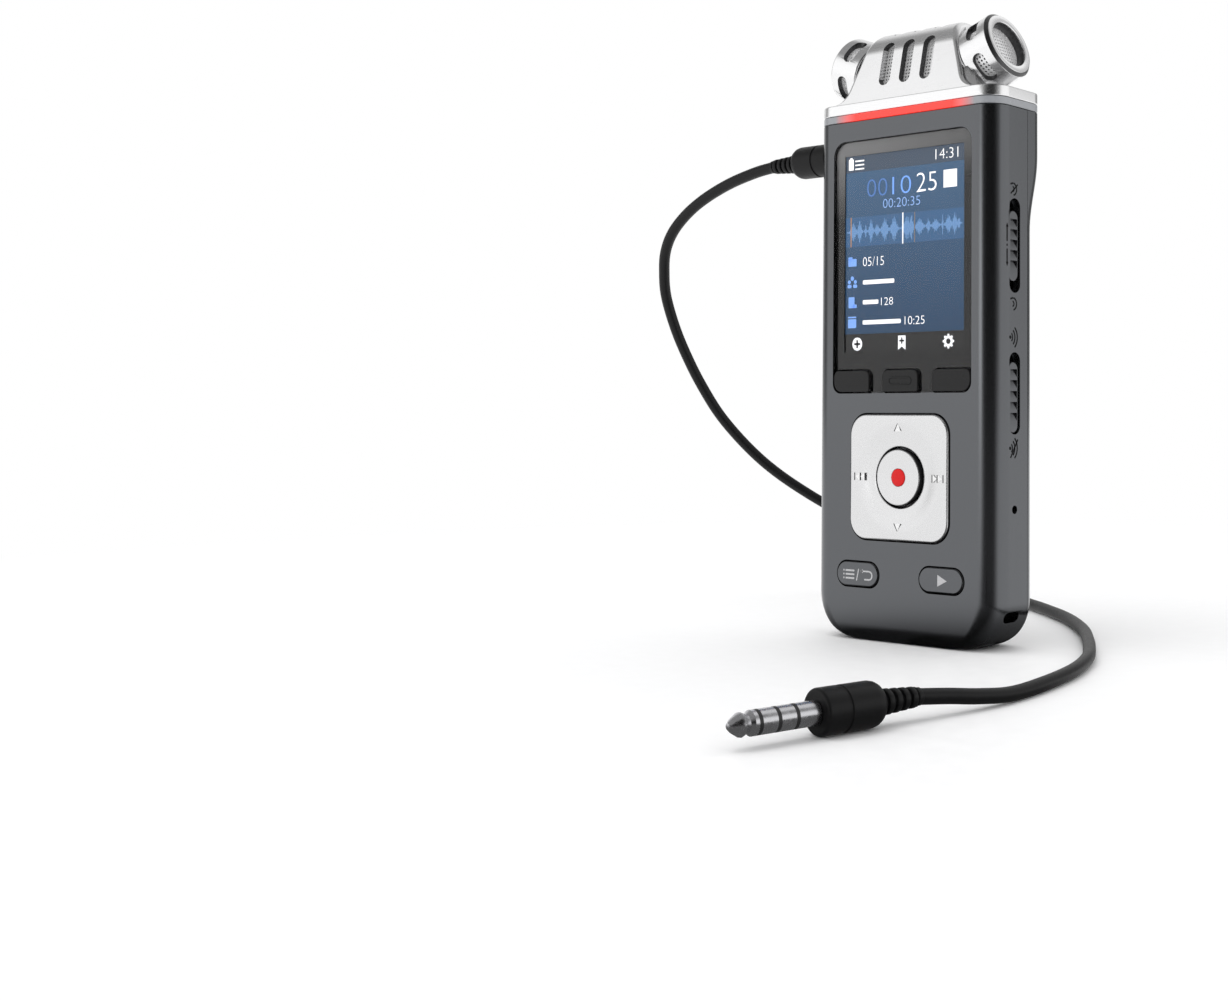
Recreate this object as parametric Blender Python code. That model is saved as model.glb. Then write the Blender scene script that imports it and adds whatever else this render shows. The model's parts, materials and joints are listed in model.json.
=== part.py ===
"""Handheld voice recorder with two angled microphone barrels and a lead plugged into its left side.

It stands upright on its foot: metres, +Z up, the front faces -Y, +X is to the right seen from the front.
The origin is the centre of its footprint box, on the ground. Numbers below are millimetres, and
"depth" is measured backwards from the flat front face.
"""

import math

import bmesh
import bpy
from mathutils import Matrix, Vector

MM = 0.001

# Driving dimensions
WIDTH = 46.0
DEPTH_MAIN = 13.0        # lower body
DEPTH_TOP = 15.5         # rear hump and everything above it
RAISE = 0.5              # how far the nav pad stands out of the front face
HOUSING_TOP = 102.4
SHOULDER_BOTTOM = 104.0
SHOULDER_TOP = 106.2
HEAD_TOP = 120.8
WALL = 1.6
SEAM = 0.1               # gap at a fixed joint between two pieces
KEY_GAP = 0.25           # gap round a key that moves
PARTING = 10.4           # depth of the split between the front and rear housings
FOOT_RADIUS = 9.0        # bottom corners, seen from the front
FOOT_ROUND = (1.6, 2.8)  # rounding under the front and back: depth, height
FRONT_CORNER = 4.6
REAR_CORNER = 2.8
HUMP = (79.0, 94.0)      # heights between which the back swells from DEPTH_MAIN to DEPTH_TOP

WINDOW = (17.55, 48.2, 98.5)      # half width, bottom, top
WINDOW_RADII = (2.5, 2.5, 2.9, 2.9)
WINDOW_DEPTH = 0.9
DISPLAY_OPENING = (16.1, 55.2, 97.0)  # half width, bottom, top
PANEL = (15.8, 55.5, 96.7)        # half width, bottom, top of the panel and its backlight tray
PANEL_DEPTH = (1.05, 2.1)
TRAY_DEPTH = (2.3, 3.3)
FUNCTION_TOP = 53.0
FUNCTION_SIDE = 7.7               # inner edge of the two outer function keys
FUNCTION_MIDDLE = 4.75
NAV_HALF = 12.6
NAV_CENTRE = 31.95
NAV_RADIUS = 4.2
NAV_TRIM = 0.15                   # how much nearer its middle the pad's top and bottom edges are
RECORD_RADIUS = 5.4
RECORD_HOLE = 5.95
DOT_RADIUS = 1.68
LOW_KEY = (4.9, 16.1, 10.2, 15.5) # inner and outer edge, bottom, top
SIDE_SLOT_DEPTH = 6.3
SIDE_SLOT_WIDTH = 3.4
HOLD_SLOT = (67.0, 84.9)
HOLD_KNOB = (69.2, 82.6)
WIRELESS_SLOT = (40.35, 55.8)
WIRELESS_KNOB = (40.6, 54.0)
PINHOLE = (26.3, 0.8)              # height, radius
BOARD = (16.4, 9.0, 93.2)          # half width, bottom, top
BOARD_DEPTH = (5.1, 6.1)
SOCKET_DEPTH = 6.5
SOCKET_HOLE = 2.9
MIC_SOCKET_Z = 96.7
PHONES_SOCKET_Z = 82.0
CARD_SLOT = ((6.7, 8.3), (61.5, 73.5))         # depths, heights
USB_OPENING = ((-4.1, 4.1), (6.0, 9.2))        # across, depths
LED = (13.0, (3.0, 4.4))          # half length, depths
SCREWS = ((-15.5, 6.0), (15.5, 6.0), (-19.0, 90.6), (19.0, 90.6))

BARREL_TILT = math.radians(20.0)
BARREL_RIM = (20.2, 8.3, 115.15)   # centre of the right rim's face: x, depth, z
BARREL_LENGTH = 7.3
BARREL_RADIUS = 6.7
BARREL_BORE = 5.6
BARREL_MOUTH = 4.6
HEAD_LEAN_FRONT = math.radians(12.0)
HEAD_LEAN_REAR = math.radians(4.0)
HEAD_WALL = 1.3
HEAD_SLOT_PITCH = 5.2
HEAD_SLOT = (2.85, 109.0, 117.9)   # width, bottom, top, in the front and in the back
RIDGE_SLOT = (4.85, 12.0)          # depths of the slots over the top

CORD_DIAMETER = 2.4
PLUG_RADIUS = 3.35
PLUG_LENGTH = 10.6
RELIEF_LENGTH = 6.8
PIN_LENGTH = 14.0

FRONT = RAISE - (DEPTH_TOP + RAISE) / 2  # Y of the front face

for old in list(bpy.data.objects):
    bpy.data.objects.remove(old)


def point(x, depth, z):
    """A point on or in the recorder, from its millimetre measures."""
    return Vector((x, FRONT + depth, z)) * MM


# ---------------------------------------------------------------- materials

def material(name, colour, roughness, metallic=0.0, alpha=1.0):
    made = bpy.data.materials.new(name)
    made.use_nodes = True
    shader = made.node_tree.nodes["Principled BSDF"]
    shader.inputs["Base Color"].default_value = (*colour, 1.0)
    shader.inputs["Roughness"].default_value = roughness
    shader.inputs["Metallic"].default_value = metallic
    shader.inputs["Alpha"].default_value = alpha
    return made


# ---------------------------------------------------------------- outlines

def rounded(low_u, high_u, low_v, high_v, radii, steps=5):
    """Rectangle with round corners, anticlockwise. radii is one number, or one each for the corners
    low-low, high-low, high-high and low-high."""
    if not isinstance(radii, tuple):
        radii = (radii,) * 4
    corners = ((low_u, low_v, 1, 1), (high_u, low_v, -1, 1), (high_u, high_v, -1, -1), (low_u, high_v, 1, -1))
    outline = []
    for number, ((u, v, side_u, side_v), radius) in enumerate(zip(corners, radii)):
        if radius <= 0:
            outline.append((u, v))
            continue
        for step in range(steps + 1):
            angle = math.pi + math.pi / 2 * (number + step / steps)
            outline.append((u + side_u * radius + radius * math.cos(angle),
                            v + side_v * radius + radius * math.sin(angle)))
    return outline


def circle(centre_u, centre_v, radius, steps=24):
    return [(centre_u + radius * math.cos(2 * math.pi * i / steps),
             centre_v + radius * math.sin(2 * math.pi * i / steps)) for i in range(steps)]


def side_dip(size, round_size, height):
    """How far an elliptical rounding of that depth and height pulls the surface in at this height."""
    if height >= round_size:
        return 0.0
    return size * (1 - math.sqrt(1 - ((round_size - height) / round_size) ** 2))


def half_width(z, inset=0.0):
    return WIDTH / 2 - side_dip(FOOT_RADIUS, FOOT_RADIUS, z) - inset


def back_depth(z):
    """Depth of the rear surface: flat, then a smooth swell up to the hump."""
    share = min(max((z - HUMP[0]) / (HUMP[1] - HUMP[0]), 0.0), 1.0)
    return DEPTH_MAIN + (DEPTH_TOP - DEPTH_MAIN) * (0.5 - 0.5 * math.cos(math.pi * share))


def plan(z, inset=0.0, steps=5):
    """The body's plan outline at a height, as (x, depth)."""
    half = half_width(z, inset)
    dip = side_dip(*FOOT_ROUND, z) + inset
    front = max(FRONT_CORNER - inset, 0.8)
    rear = max(REAR_CORNER - inset, 0.8)
    return rounded(-half, half, dip, back_depth(z) - dip, (front, front, rear, rear), steps)


# ---------------------------------------------------------------- solids

root = bpy.data.objects.new("recorder", None)
bpy.context.scene.collection.objects.link(root)


def body_of(name, rings, finish, origin=None, closed=False):
    """One closed body through a stack of rings with equal point counts. Its ends are capped, or
    joined to each other where closed, which makes a tube wall. Points are in metres."""
    origin = origin or Vector()
    mesh_data = bmesh.new()
    loops = [[mesh_data.verts.new(corner - origin) for corner in ring] for ring in rings]
    pairs = list(zip(loops, loops[1:])) + ([(loops[-1], loops[0])] if closed else [])
    for low, high in pairs:
        for i in range(len(low)):
            j = (i + 1) % len(low)
            mesh_data.faces.new((low[i], low[j], high[j], high[i]))
    if not closed:
        mesh_data.faces.new(reversed(loops[0]))
        mesh_data.faces.new(loops[-1])
    bmesh.ops.recalc_face_normals(mesh_data, faces=mesh_data.faces)
    mesh = bpy.data.meshes.new(name)
    mesh_data.to_mesh(mesh)
    mesh_data.free()
    mesh.shade_smooth()
    mesh.set_sharp_from_angle(angle=math.radians(35))
    made = bpy.data.objects.new(name, mesh)
    made.location = origin
    made.parent = root
    bpy.context.scene.collection.objects.link(made)
    if finish is None:
        made.hide_render = True
        made.display_type = "WIRE"
    else:
        mesh.materials.append(finish)
    return made


def along_y(name, outline, depths, finish=None, origin=None):
    """An (x, z) outline carried backwards from one depth to another."""
    return body_of(name, [[point(x, depth, z) for x, z in outline] for depth in depths], finish, origin)


def along_x(name, outline, ends, finish=None, origin=None):
    """A (depth, z) outline carried across from one x to another."""
    return body_of(name, [[point(x, depth, z) for depth, z in outline] for x in ends], finish, origin)


def along_z(name, outline, heights, finish=None, origin=None):
    """An (x, depth) outline carried up from one height to another."""
    return body_of(name, [[point(x, depth, z) for x, depth in outline] for z in heights], finish, origin)


def block(name, xs, depths, zs, finish=None, radius=0.0, origin=None):
    return along_y(name, rounded(*xs, *zs, radius), depths, finish, origin)


def turned(name, profile, centre, axis, finish=None, closed=False, steps=24):
    """A profile of (radius, height) turned about an axis through centre. A closed profile runs round
    a ring's or tube's wall."""
    turn = Vector((0, 0, 1)).rotation_difference(Vector(axis)).to_matrix().to_4x4()
    rings = [[Vector((x, y, height)) * MM for x, y in circle(0, 0, radius, steps)]
             for radius, height in profile]
    made = body_of(name, rings, finish, closed=closed)
    made.matrix_local = Matrix.Translation(centre) @ turn
    return made


def boolean(made, operation, *tools):
    for tool in tools:
        step = made.modifiers.new(tool.name, "BOOLEAN")
        step.operation = operation
        step.solver = "EXACT"
        step.object = tool
    return made


def cut(made, *tools):
    return boolean(made, "DIFFERENCE", *tools)


def add(made, *tools):
    return boolean(made, "UNION", *tools)


# ---------------------------------------------------------------- the two housings

CAVITY_CHAMFER = 8.5     # the inside's lower corners, which leaves room for the strap tunnel
STRAP_CENTRE = (22.6, 1.4)
STRAP_RADII = (3.9, 5.9)
STRAP_DEPTH = (3.6, 8.1)
STRAP_ARC = (70.0, 140.0)  # start and sweep of the tunnel in degrees
SCREW_RADIUS = 0.9
SCREW_HEAD = (1.7, 1.1)  # radius, height
SCREW_FOOT = 4.6         # depth at which the screws end
BOSS_RADIUS = 2.2
BOSS_FOOT = 1.4          # depth at which the front bosses join the front wall
PILOT_RADIUS = 1.1
SEAT_RADIUS = 2.0
SEAT_SUNK = 1.3          # depth of the screw seats below the rear surface
GRILLE_CENTRE = (3.0, 76.0)
GRILLE_ROWS = (5, 2.6, 1.2)  # how many, spacing, height of one
GRILLE_HALF = 7.5
FAR = 40.0               # half size of a cutter that reaches past the whole recorder


def outer_shell(name, finish):
    arc = [FOOT_RADIUS * (1 - math.cos(math.radians(angle))) for angle in range(0, 91, 10)]
    heights = arc + [HUMP[0] + (HUMP[1] - HUMP[0]) * i / 6 for i in range(7)] + [HOUSING_TOP]
    return body_of(name, [[point(x, depth, z) for x, depth in plan(z)] for z in heights], finish)


def inner_space():
    widest = half_width(HOUSING_TOP, WALL)
    levels = [(WALL, widest - CAVITY_CHAMFER), (WALL + CAVITY_CHAMFER, widest)]
    levels += [(HUMP[0] + (HUMP[1] - HUMP[0]) * i / 4, widest) for i in range(5)]
    levels.append((HOUSING_TOP - WALL, widest))
    rings = []
    for z, half in levels:
        outline = rounded(-half, half, WALL, back_depth(z) - WALL, (3.0, 3.0, 1.2, 1.2), 3)
        rings.append([point(x, depth, z) for x, depth in outline])
    return body_of("space_inside", rings, None)


def side_slot(name, low, high):
    half = SIDE_SLOT_WIDTH / 2
    outline = rounded(SIDE_SLOT_DEPTH - half, SIDE_SLOT_DEPTH + half, low, high, half - 0.01, 4)
    return along_x(name, outline, (WIDTH / 2 - WALL - 1, WIDTH / 2 + 1))


def strap_tunnel():
    """An arched passage from the side face round to the underside of the right corner."""
    start, sweep = STRAP_ARC
    turns = [math.radians(start + sweep * i / 10) for i in range(11)]
    inner, outer = STRAP_RADII
    x, z = STRAP_CENTRE
    outline = [(x + outer * math.cos(a), z + outer * math.sin(a)) for a in turns]
    outline += [(x + inner * math.cos(a), z + inner * math.sin(a)) for a in reversed(turns)]
    return along_y("strap_tunnel", outline, STRAP_DEPTH)


def function_key_outline(which, shrink=0.0):
    half_window, bottom, _ = WINDOW
    edges = {"left": (-half_window, -FUNCTION_SIDE), "middle": (-FUNCTION_MIDDLE, FUNCTION_MIDDLE),
             "right": (FUNCTION_SIDE, half_window)}[which]
    outer_foot = (2.0, 0.5) if which == "left" else (0.5, 2.0) if which == "right" else (0.5, 0.5)
    return rounded(edges[0] + shrink, edges[1] - shrink, bottom + shrink, FUNCTION_TOP - shrink,
                   (*outer_foot, 1.2, 1.2), 3)


def low_key_outline(side, shrink=0.0):
    inner, outer, bottom, top = LOW_KEY
    low, high = sorted((side * inner, side * outer))
    radius = (top - bottom) / 2 - shrink - 0.01
    return rounded(low + shrink, high - shrink, bottom + shrink, top - shrink, radius, 4)


def nav_outline(gap):
    """The nav pad's opening, or with a gap the pad itself."""
    reach = NAV_HALF - gap
    return rounded(-reach, reach, NAV_CENTRE - reach + NAV_TRIM, NAV_CENTRE + reach - NAV_TRIM,
                   NAV_RADIUS - gap)


def rod(name, radius, x, depth, z, length, steps):
    """A plain round rod that runs backwards."""
    return turned(name, [(radius, 0), (radius, length)], point(x, depth, z), (0, 1, 0), steps=steps)


def make_front_housing(finish):
    half_window, window_bottom, window_top = WINDOW
    front = cut(outer_shell("front_housing", finish), inner_space())
    for number, (x, z) in enumerate(SCREWS):
        add(front, rod(f"front_boss_{number}", BOSS_RADIUS, x, BOSS_FOOT, z, PARTING - 2.1, 12))
    cut(front, block("behind_parting", (-FAR, FAR), (PARTING - SEAM / 2, FAR), (-FAR, 3 * FAR)))
    for number, (x, z) in enumerate(SCREWS):
        cut(front, rod(f"pilot_{number}", PILOT_RADIUS, x, 4.2, z, 9, 10))
    cut(front, along_y("window_recess", rounded(-half_window, half_window, window_bottom, window_top,
                                                WINDOW_RADII, 4), (-1, WINDOW_DEPTH)))
    half_opening, opening_bottom, opening_top = DISPLAY_OPENING
    cut(front, block("display_opening", (-half_opening, half_opening), (-0.5, 3),
                     (opening_bottom, opening_top), radius=1.0))
    for which in ("left", "middle", "right"):
        cut(front, along_y(f"{which}_key_opening", function_key_outline(which), (-0.6, 3)))
    cut(front, along_y("nav_opening", nav_outline(0.0), (-1, 3)))
    cut(front, *(along_y(f"low_key_opening_{side}", low_key_outline(side), (-1, 3)) for side in (-1, 1)))
    cut(front, side_slot("hold_slot", *HOLD_SLOT), side_slot("wireless_slot", *WIRELESS_SLOT))
    height, radius = PINHOLE
    cut(front, turned("pinhole", [(radius, 0), (radius, 4)], point(WIDTH / 2 - 3, SIDE_SLOT_DEPTH, height),
                      (1, 0, 0), steps=10))
    for number, z in enumerate((MIC_SOCKET_Z, PHONES_SOCKET_Z)):
        cut(front, turned(f"socket_hole_{number}", [(SOCKET_HOLE, 0), (SOCKET_HOLE, 4)],
                          point(-WIDTH / 2 - 1, SOCKET_DEPTH, z), (1, 0, 0), steps=16))
    cut(front, block("card_slot", (-25, -20), *CARD_SLOT), block("usb_opening", *USB_OPENING, (-1, 3)))
    cut(front, strap_tunnel())


def make_rear_housing(finish):
    rear = cut(outer_shell("rear_housing", finish), inner_space())
    for number, (x, z) in enumerate(SCREWS):
        add(rear, rod(f"rear_boss_{number}", BOSS_RADIUS, x, PARTING, z, back_depth(z) - PARTING - 0.8, 12))
    cut(rear, block("before_parting", (-FAR, FAR), (-FAR, PARTING + SEAM / 2), (-FAR, 3 * FAR)))
    for number, (x, z) in enumerate(SCREWS):
        cut(rear, rod(f"screw_way_{number}", PILOT_RADIUS, x, PARTING - 1, z, 9, 10),
            rod(f"screw_seat_{number}", SEAT_RADIUS, x, back_depth(z) - SEAT_SUNK, z, 4, 16))
    rows, pitch, height = GRILLE_ROWS
    for row in range(rows):
        from_middle = row - (rows - 1) / 2
        z = GRILLE_CENTRE[1] + pitch * from_middle
        half = GRILLE_HALF - 0.9 * abs(from_middle)
        cut(rear, block(f"grille_{row}", (GRILLE_CENTRE[0] - half, GRILLE_CENTRE[0] + half), (9, 20),
                        (z - height / 2, z + height / 2), radius=0.55))


# ---------------------------------------------------------------- top: light ring, head and barrels

def make_light_ring(finish, led_finish):
    low, high = HOUSING_TOP + SEAM, SHOULDER_BOTTOM - SEAM
    outer, inner = plan(HOUSING_TOP), plan(HOUSING_TOP, inset=2.6)
    rings = [[point(x, depth, z) for x, depth in outline]
             for outline, z in ((outer, low), (outer, high), (inner, high), (inner, low))]
    body_of("light_ring", rings, finish, closed=True)
    half, depths = LED
    block("ring_led", (-half, half), depths, (low + 0.3, high - 0.3), led_finish)


def head_section(inset=0.0, foot=SHOULDER_TOP - 0.6, steps=12):
    """(depth, z) outline of the head: two leaning sides, joined by the round top that touches both."""
    front, rear = 0.15, DEPTH_TOP - 0.1       # depths of the two sides at the shoulder's top
    slope_front, slope_rear = math.tan(HEAD_LEAN_FRONT), math.tan(HEAD_LEAN_REAR)
    per_front, per_rear = 1 / math.cos(HEAD_LEAN_FRONT), 1 / math.cos(HEAD_LEAN_REAR)
    rise = HEAD_TOP - SHOULDER_TOP
    # The top's centre is its radius away from both sides and from the highest point.
    per_side = per_front + per_rear
    height = (rear - front - rise * per_side) / (slope_front + slope_rear - per_side)
    radius = rise - height
    centre = (front + height * slope_front + radius * per_front, SHOULDER_TOP + height)
    turns = [math.pi - HEAD_LEAN_FRONT + (HEAD_LEAN_REAR + HEAD_LEAN_FRONT - math.pi) * i / steps
             for i in range(steps + 1)]
    reach = radius - inset
    top = [(centre[0] + reach * math.cos(a), centre[1] + reach * math.sin(a)) for a in turns]
    below = SHOULDER_TOP - foot
    return ([(front - below * slope_front + inset * per_front, foot)] + top
            + [(rear + below * slope_rear - inset * per_rear, foot)])


def end_x(z, inset=0.0):
    """x of the head's right end plane, which is square to the barrel's axis."""
    tilt = BARREL_TILT
    root_x = BARREL_RIM[0] - BARREL_LENGTH * math.cos(tilt) - SEAM - inset
    root_z = BARREL_RIM[2] - BARREL_LENGTH * math.sin(tilt)
    return root_x - (z - root_z) * math.tan(tilt)


def head_body(name, inset, foot):
    """The head without its barrels, or with an inset the space inside it."""
    section = head_section(inset, foot)
    ends = [[point(side * end_x(z, inset), depth, z) for depth, z in section] for side in (-1, 1)]
    return body_of(name, ends, None)


def make_head(finish, mesh_finish, board_finish, capsule_finish):
    shoulder = [(SHOULDER_BOTTOM, 0.0), (SHOULDER_TOP - 0.3, 0.0), (SHOULDER_TOP, 0.3)]
    head = body_of("mic_head", [[point(x, depth, z) for x, depth in plan(HOUSING_TOP, inset)]
                                for z, inset in shoulder], finish)
    add(head, head_body("head_dome", 0.0, SHOULDER_TOP - 0.6))
    cut(head, head_body("head_space", HEAD_WALL, SHOULDER_BOTTOM - 1))
    width, low, high = HEAD_SLOT
    for number in (-1, 0, 1):
        x = number * HEAD_SLOT_PITCH
        edges = (x - width / 2, x + width / 2)
        cut(head, block(f"head_slot_{number + 1}", edges, (-2, 20), (low, high), radius=1.41),
            along_z(f"ridge_slot_{number + 1}", rounded(*edges, *RIDGE_SLOT, 1.41), (high, HEAD_TOP + 1)))
    for name, side in (("left", -1), ("right", 1)):
        axis = Vector((side * math.cos(BARREL_TILT), 0, math.sin(BARREL_TILT)))
        rim = point(side * BARREL_RIM[0], *BARREL_RIM[1:])
        cut(head, turned(f"lead_way_{name}", [(3.6, -11.5), (3.6, -6.8)], rim, axis, steps=16))
        make_barrel(name, rim, axis, finish, mesh_finish, capsule_finish)

    foot = SHOULDER_TOP - 0.4
    liner_outer, liner_inner = head_section(HEAD_WALL + 0.2, foot, 8), head_section(HEAD_WALL + 0.55, foot, 8)
    along_x("head_mesh", liner_outer + liner_inner[::-1], (-8.6, 8.6), mesh_finish)
    turned("mic_capsule_centre", [(3.0, -2), (3.0, 2)], point(0, BARREL_RIM[1], 112.6), (1, 0, 0),
           capsule_finish)
    block("mic_board", (-11.5, 11.5), (3.6, 12.4), (104.6, 105.5), board_finish)


def make_barrel(side, rim, axis, finish, mesh_finish, capsule_finish):
    length, radius, bore, mouth = BARREL_LENGTH, BARREL_RADIUS, BARREL_BORE, BARREL_MOUTH
    chamfer, lip = 0.5, 1.9
    wall = [(bore, -length), (radius, -length), (radius, -chamfer), (radius - chamfer, 0),
            (mouth, 0), (mouth, -lip), (bore, -lip)]
    barrel = turned(f"mic_barrel_{side}", wall, rim, axis, finish, closed=True, steps=36)
    # Four slots round the wall, each 54 degrees long, at 40 degrees above and below level.
    for number, middle in enumerate((40, 140, 220, 320)):
        turns = [math.radians(middle - 27 + 54 * i / 6) for i in range(7)]
        rings = []
        for low, high, far in ((-5.2, -2.5, 8.0), (-5.2, -2.5, 5.0)):
            lower = [Vector((far * math.sin(a), -far * math.cos(a), low)) * MM for a in turns]
            upper = [Vector((far * math.sin(a), -far * math.cos(a), high)) * MM for a in reversed(turns)]
            rings.append(lower + upper)
        slot = body_of(f"barrel_slot_{side}_{number}", rings, None)
        slot.matrix_local = barrel.matrix_local
        cut(barrel, slot)
    skin, gap = 0.3, 0.2
    cup = [(bore - gap, -length), (bore - gap, -lip - gap), (0.4, -lip - gap),
           (0.4, -lip - gap - skin), (bore - gap - skin, -lip - gap - skin), (bore - gap - skin, -length)]
    turned(f"barrel_mesh_{side}", cup, rim, axis, mesh_finish, closed=True, steps=24)
    turned(f"mic_capsule_{side}", [(3.1, -6.4), (3.1, -3.0)], rim, axis, capsule_finish, steps=20)


# ---------------------------------------------------------------- display and keys

def make_display(glass, panel, tray):
    half, bottom, top = WINDOW[0] - SEAM, WINDOW[1] + SEAM, WINDOW[2] - SEAM
    window = along_y("display_window", rounded(-half, half, bottom, top, WINDOW_RADII, 4), (0.0, 0.75), glass)
    # Each notch is a key's opening, drawn out past the window's side and bottom edges.
    for which in ("left", "middle", "right"):
        cut(window, along_y(f"{which}_key_notch", [(x * 1.012, z if z > bottom + 1 else z - 1)
                                                   for x, z in function_key_outline(which)], (-0.4, 2)))
    half, bottom, top = PANEL
    block("lcd_panel", (-half, half), PANEL_DEPTH, (bottom, top), panel, radius=0.4)
    block("backlight_tray", (-half, half), TRAY_DEPTH, (bottom, top), tray, radius=0.4)


def make_keys(key_finish, shell_finish, pad_finish, dot_finish):
    for which in ("left", "middle", "right"):
        outline = function_key_outline(which, KEY_GAP)
        middle_x = sum(x for x, _ in outline) / len(outline)
        middle_z = (WINDOW[1] + FUNCTION_TOP) / 2
        key = along_y(f"key_{which}", outline, (0.0, 1.5), key_finish, point(middle_x, 0, middle_z))
        stem = [(middle_x + 0.7 * (x - middle_x), middle_z + 0.7 * (z - middle_z)) for x, z in outline]
        add(key, along_y(f"key_stem_{which}", stem, (1.2, 4.0)))

    for name, side in (("menu_key", -1), ("play_key", 1)):
        origin = point(side * (LOW_KEY[0] + LOW_KEY[1]) / 2, 0, (LOW_KEY[2] + LOW_KEY[3]) / 2)
        along_y(name, low_key_outline(side, KEY_GAP), (-0.3, 4.0), shell_finish, origin)

    face = point(0, -RAISE, NAV_CENTRE)
    button = turned("record_button", [(RECORD_RADIUS, 0), (RECORD_RADIUS, 1.5), (2.8, 1.7), (2.8, 4.5)], face,
                    (0, 1, 0), pad_finish, steps=36)
    seat = [(DOT_RADIUS + 0.12, -1), (DOT_RADIUS + 0.12, 0.6)]
    cut(button, turned("dot_seat", seat, face, (0, 1, 0), steps=20))
    turned("record_dot", [(DOT_RADIUS, 0), (DOT_RADIUS, 0.5)], face, (0, 1, 0), dot_finish, steps=20)


# The nav pad rocks on a ring with four pins: the ring tips about X in the bracket's posts, and the pad
# turns about Z on the ring.
PIN_DEPTH = 2.6
PIN_RADIUS = 0.4
PIN_HOLE = 0.6
PAD_GAP = 0.3
POST = (8.2, 9.4)        # nearest and furthest reach of a post or lug from the middle


def make_rocker(pad_finish, part_finish):
    pivot = point(0, PIN_DEPTH, NAV_CENTRE)
    pad = along_y("nav_pad", nav_outline(PAD_GAP), (-RAISE, 1.3), pad_finish, pivot)
    cut(pad, turned("pad_hole", [(RECORD_HOLE, 0), (RECORD_HOLE, 6)], point(0, -3, NAV_CENTRE), (0, 1, 0),
                    steps=36))
    gimbal = turned("nav_gimbal", [(6.6, -0.5), (7.7, -0.5), (7.7, 0.5), (6.6, 0.5)], pivot, (0, 1, 0),
                    part_finish, closed=True, steps=32)
    bracket = block("pivot_bracket", (-12.5, 12.5), (3.5, 4.1), (NAV_CENTRE - 3.4, NAV_CENTRE + 3.4),
                    part_finish)
    for side in (-1, 1):
        near, far = POST
        xs = sorted((side * near, side * far))
        pin_profile = [(PIN_RADIUS, 7.1), (PIN_RADIUS, 9.3)]
        hole_profile = [(PIN_HOLE, 7.9), (PIN_HOLE, 10.0)]
        add(gimbal, turned(f"pin_x_{side}", pin_profile, pivot, (side, 0, 0), steps=8),
            turned(f"pin_z_{side}", pin_profile, pivot, (0, 0, side), steps=8))
        add(bracket, block(f"post_{side}", xs, (1.95, 3.8), (NAV_CENTRE - 1.2, NAV_CENTRE + 1.2)))
        cut(bracket, turned(f"post_hole_{side}", hole_profile, pivot, (side, 0, 0), steps=12),
            block(f"post_mouth_{side}", xs, (1.0, PIN_DEPTH), (NAV_CENTRE - 0.55, NAV_CENTRE + 0.55)))
        zs = sorted((NAV_CENTRE + side * near, NAV_CENTRE + side * far))
        add(pad, block(f"lug_{side}", (-1.2, 1.2), (1.0, 3.6), zs))
        cut(pad, turned(f"lug_hole_{side}", hole_profile, pivot, (0, 0, side), steps=12))
    cut(bracket, turned("stem_way", [(3.3, 0), (3.3, 4)], point(0, 2.5, NAV_CENTRE), (0, 1, 0), steps=20))


# ---------------------------------------------------------------- right side switches

KNOB_SUNK = 0.3          # how far the knobs sit inside the side face


def make_switch(name, knob_zs, switch_zs, plate_half, knob_finish, case_finish):
    """A slide knob with the wider plate behind the wall that keeps it in, and its switch on the board."""
    middle = sum(knob_zs) / 2
    half = SIDE_SLOT_WIDTH / 2 - 0.2
    origin = point(WIDTH / 2 - 1, SIDE_SLOT_DEPTH, middle)
    outline = rounded(SIDE_SLOT_DEPTH - half, SIDE_SLOT_DEPTH + half, *knob_zs, half - 0.01, 4)
    knob = along_x(f"{name}_knob", outline, (20.8, WIDTH / 2 - KNOB_SUNK), knob_finish, origin)
    plate = rounded(SIDE_SLOT_DEPTH - 2.4, SIDE_SLOT_DEPTH + 2.4, middle - plate_half, middle + plate_half,
                    0.6, 2)
    add(knob, along_x(f"{name}_plate", plate, (20.2, 21.0)))
    block(f"{name}_switch", (16.8, 19.9), (5.0, 8.0), switch_zs, case_finish)


# ---------------------------------------------------------------- inside

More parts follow.
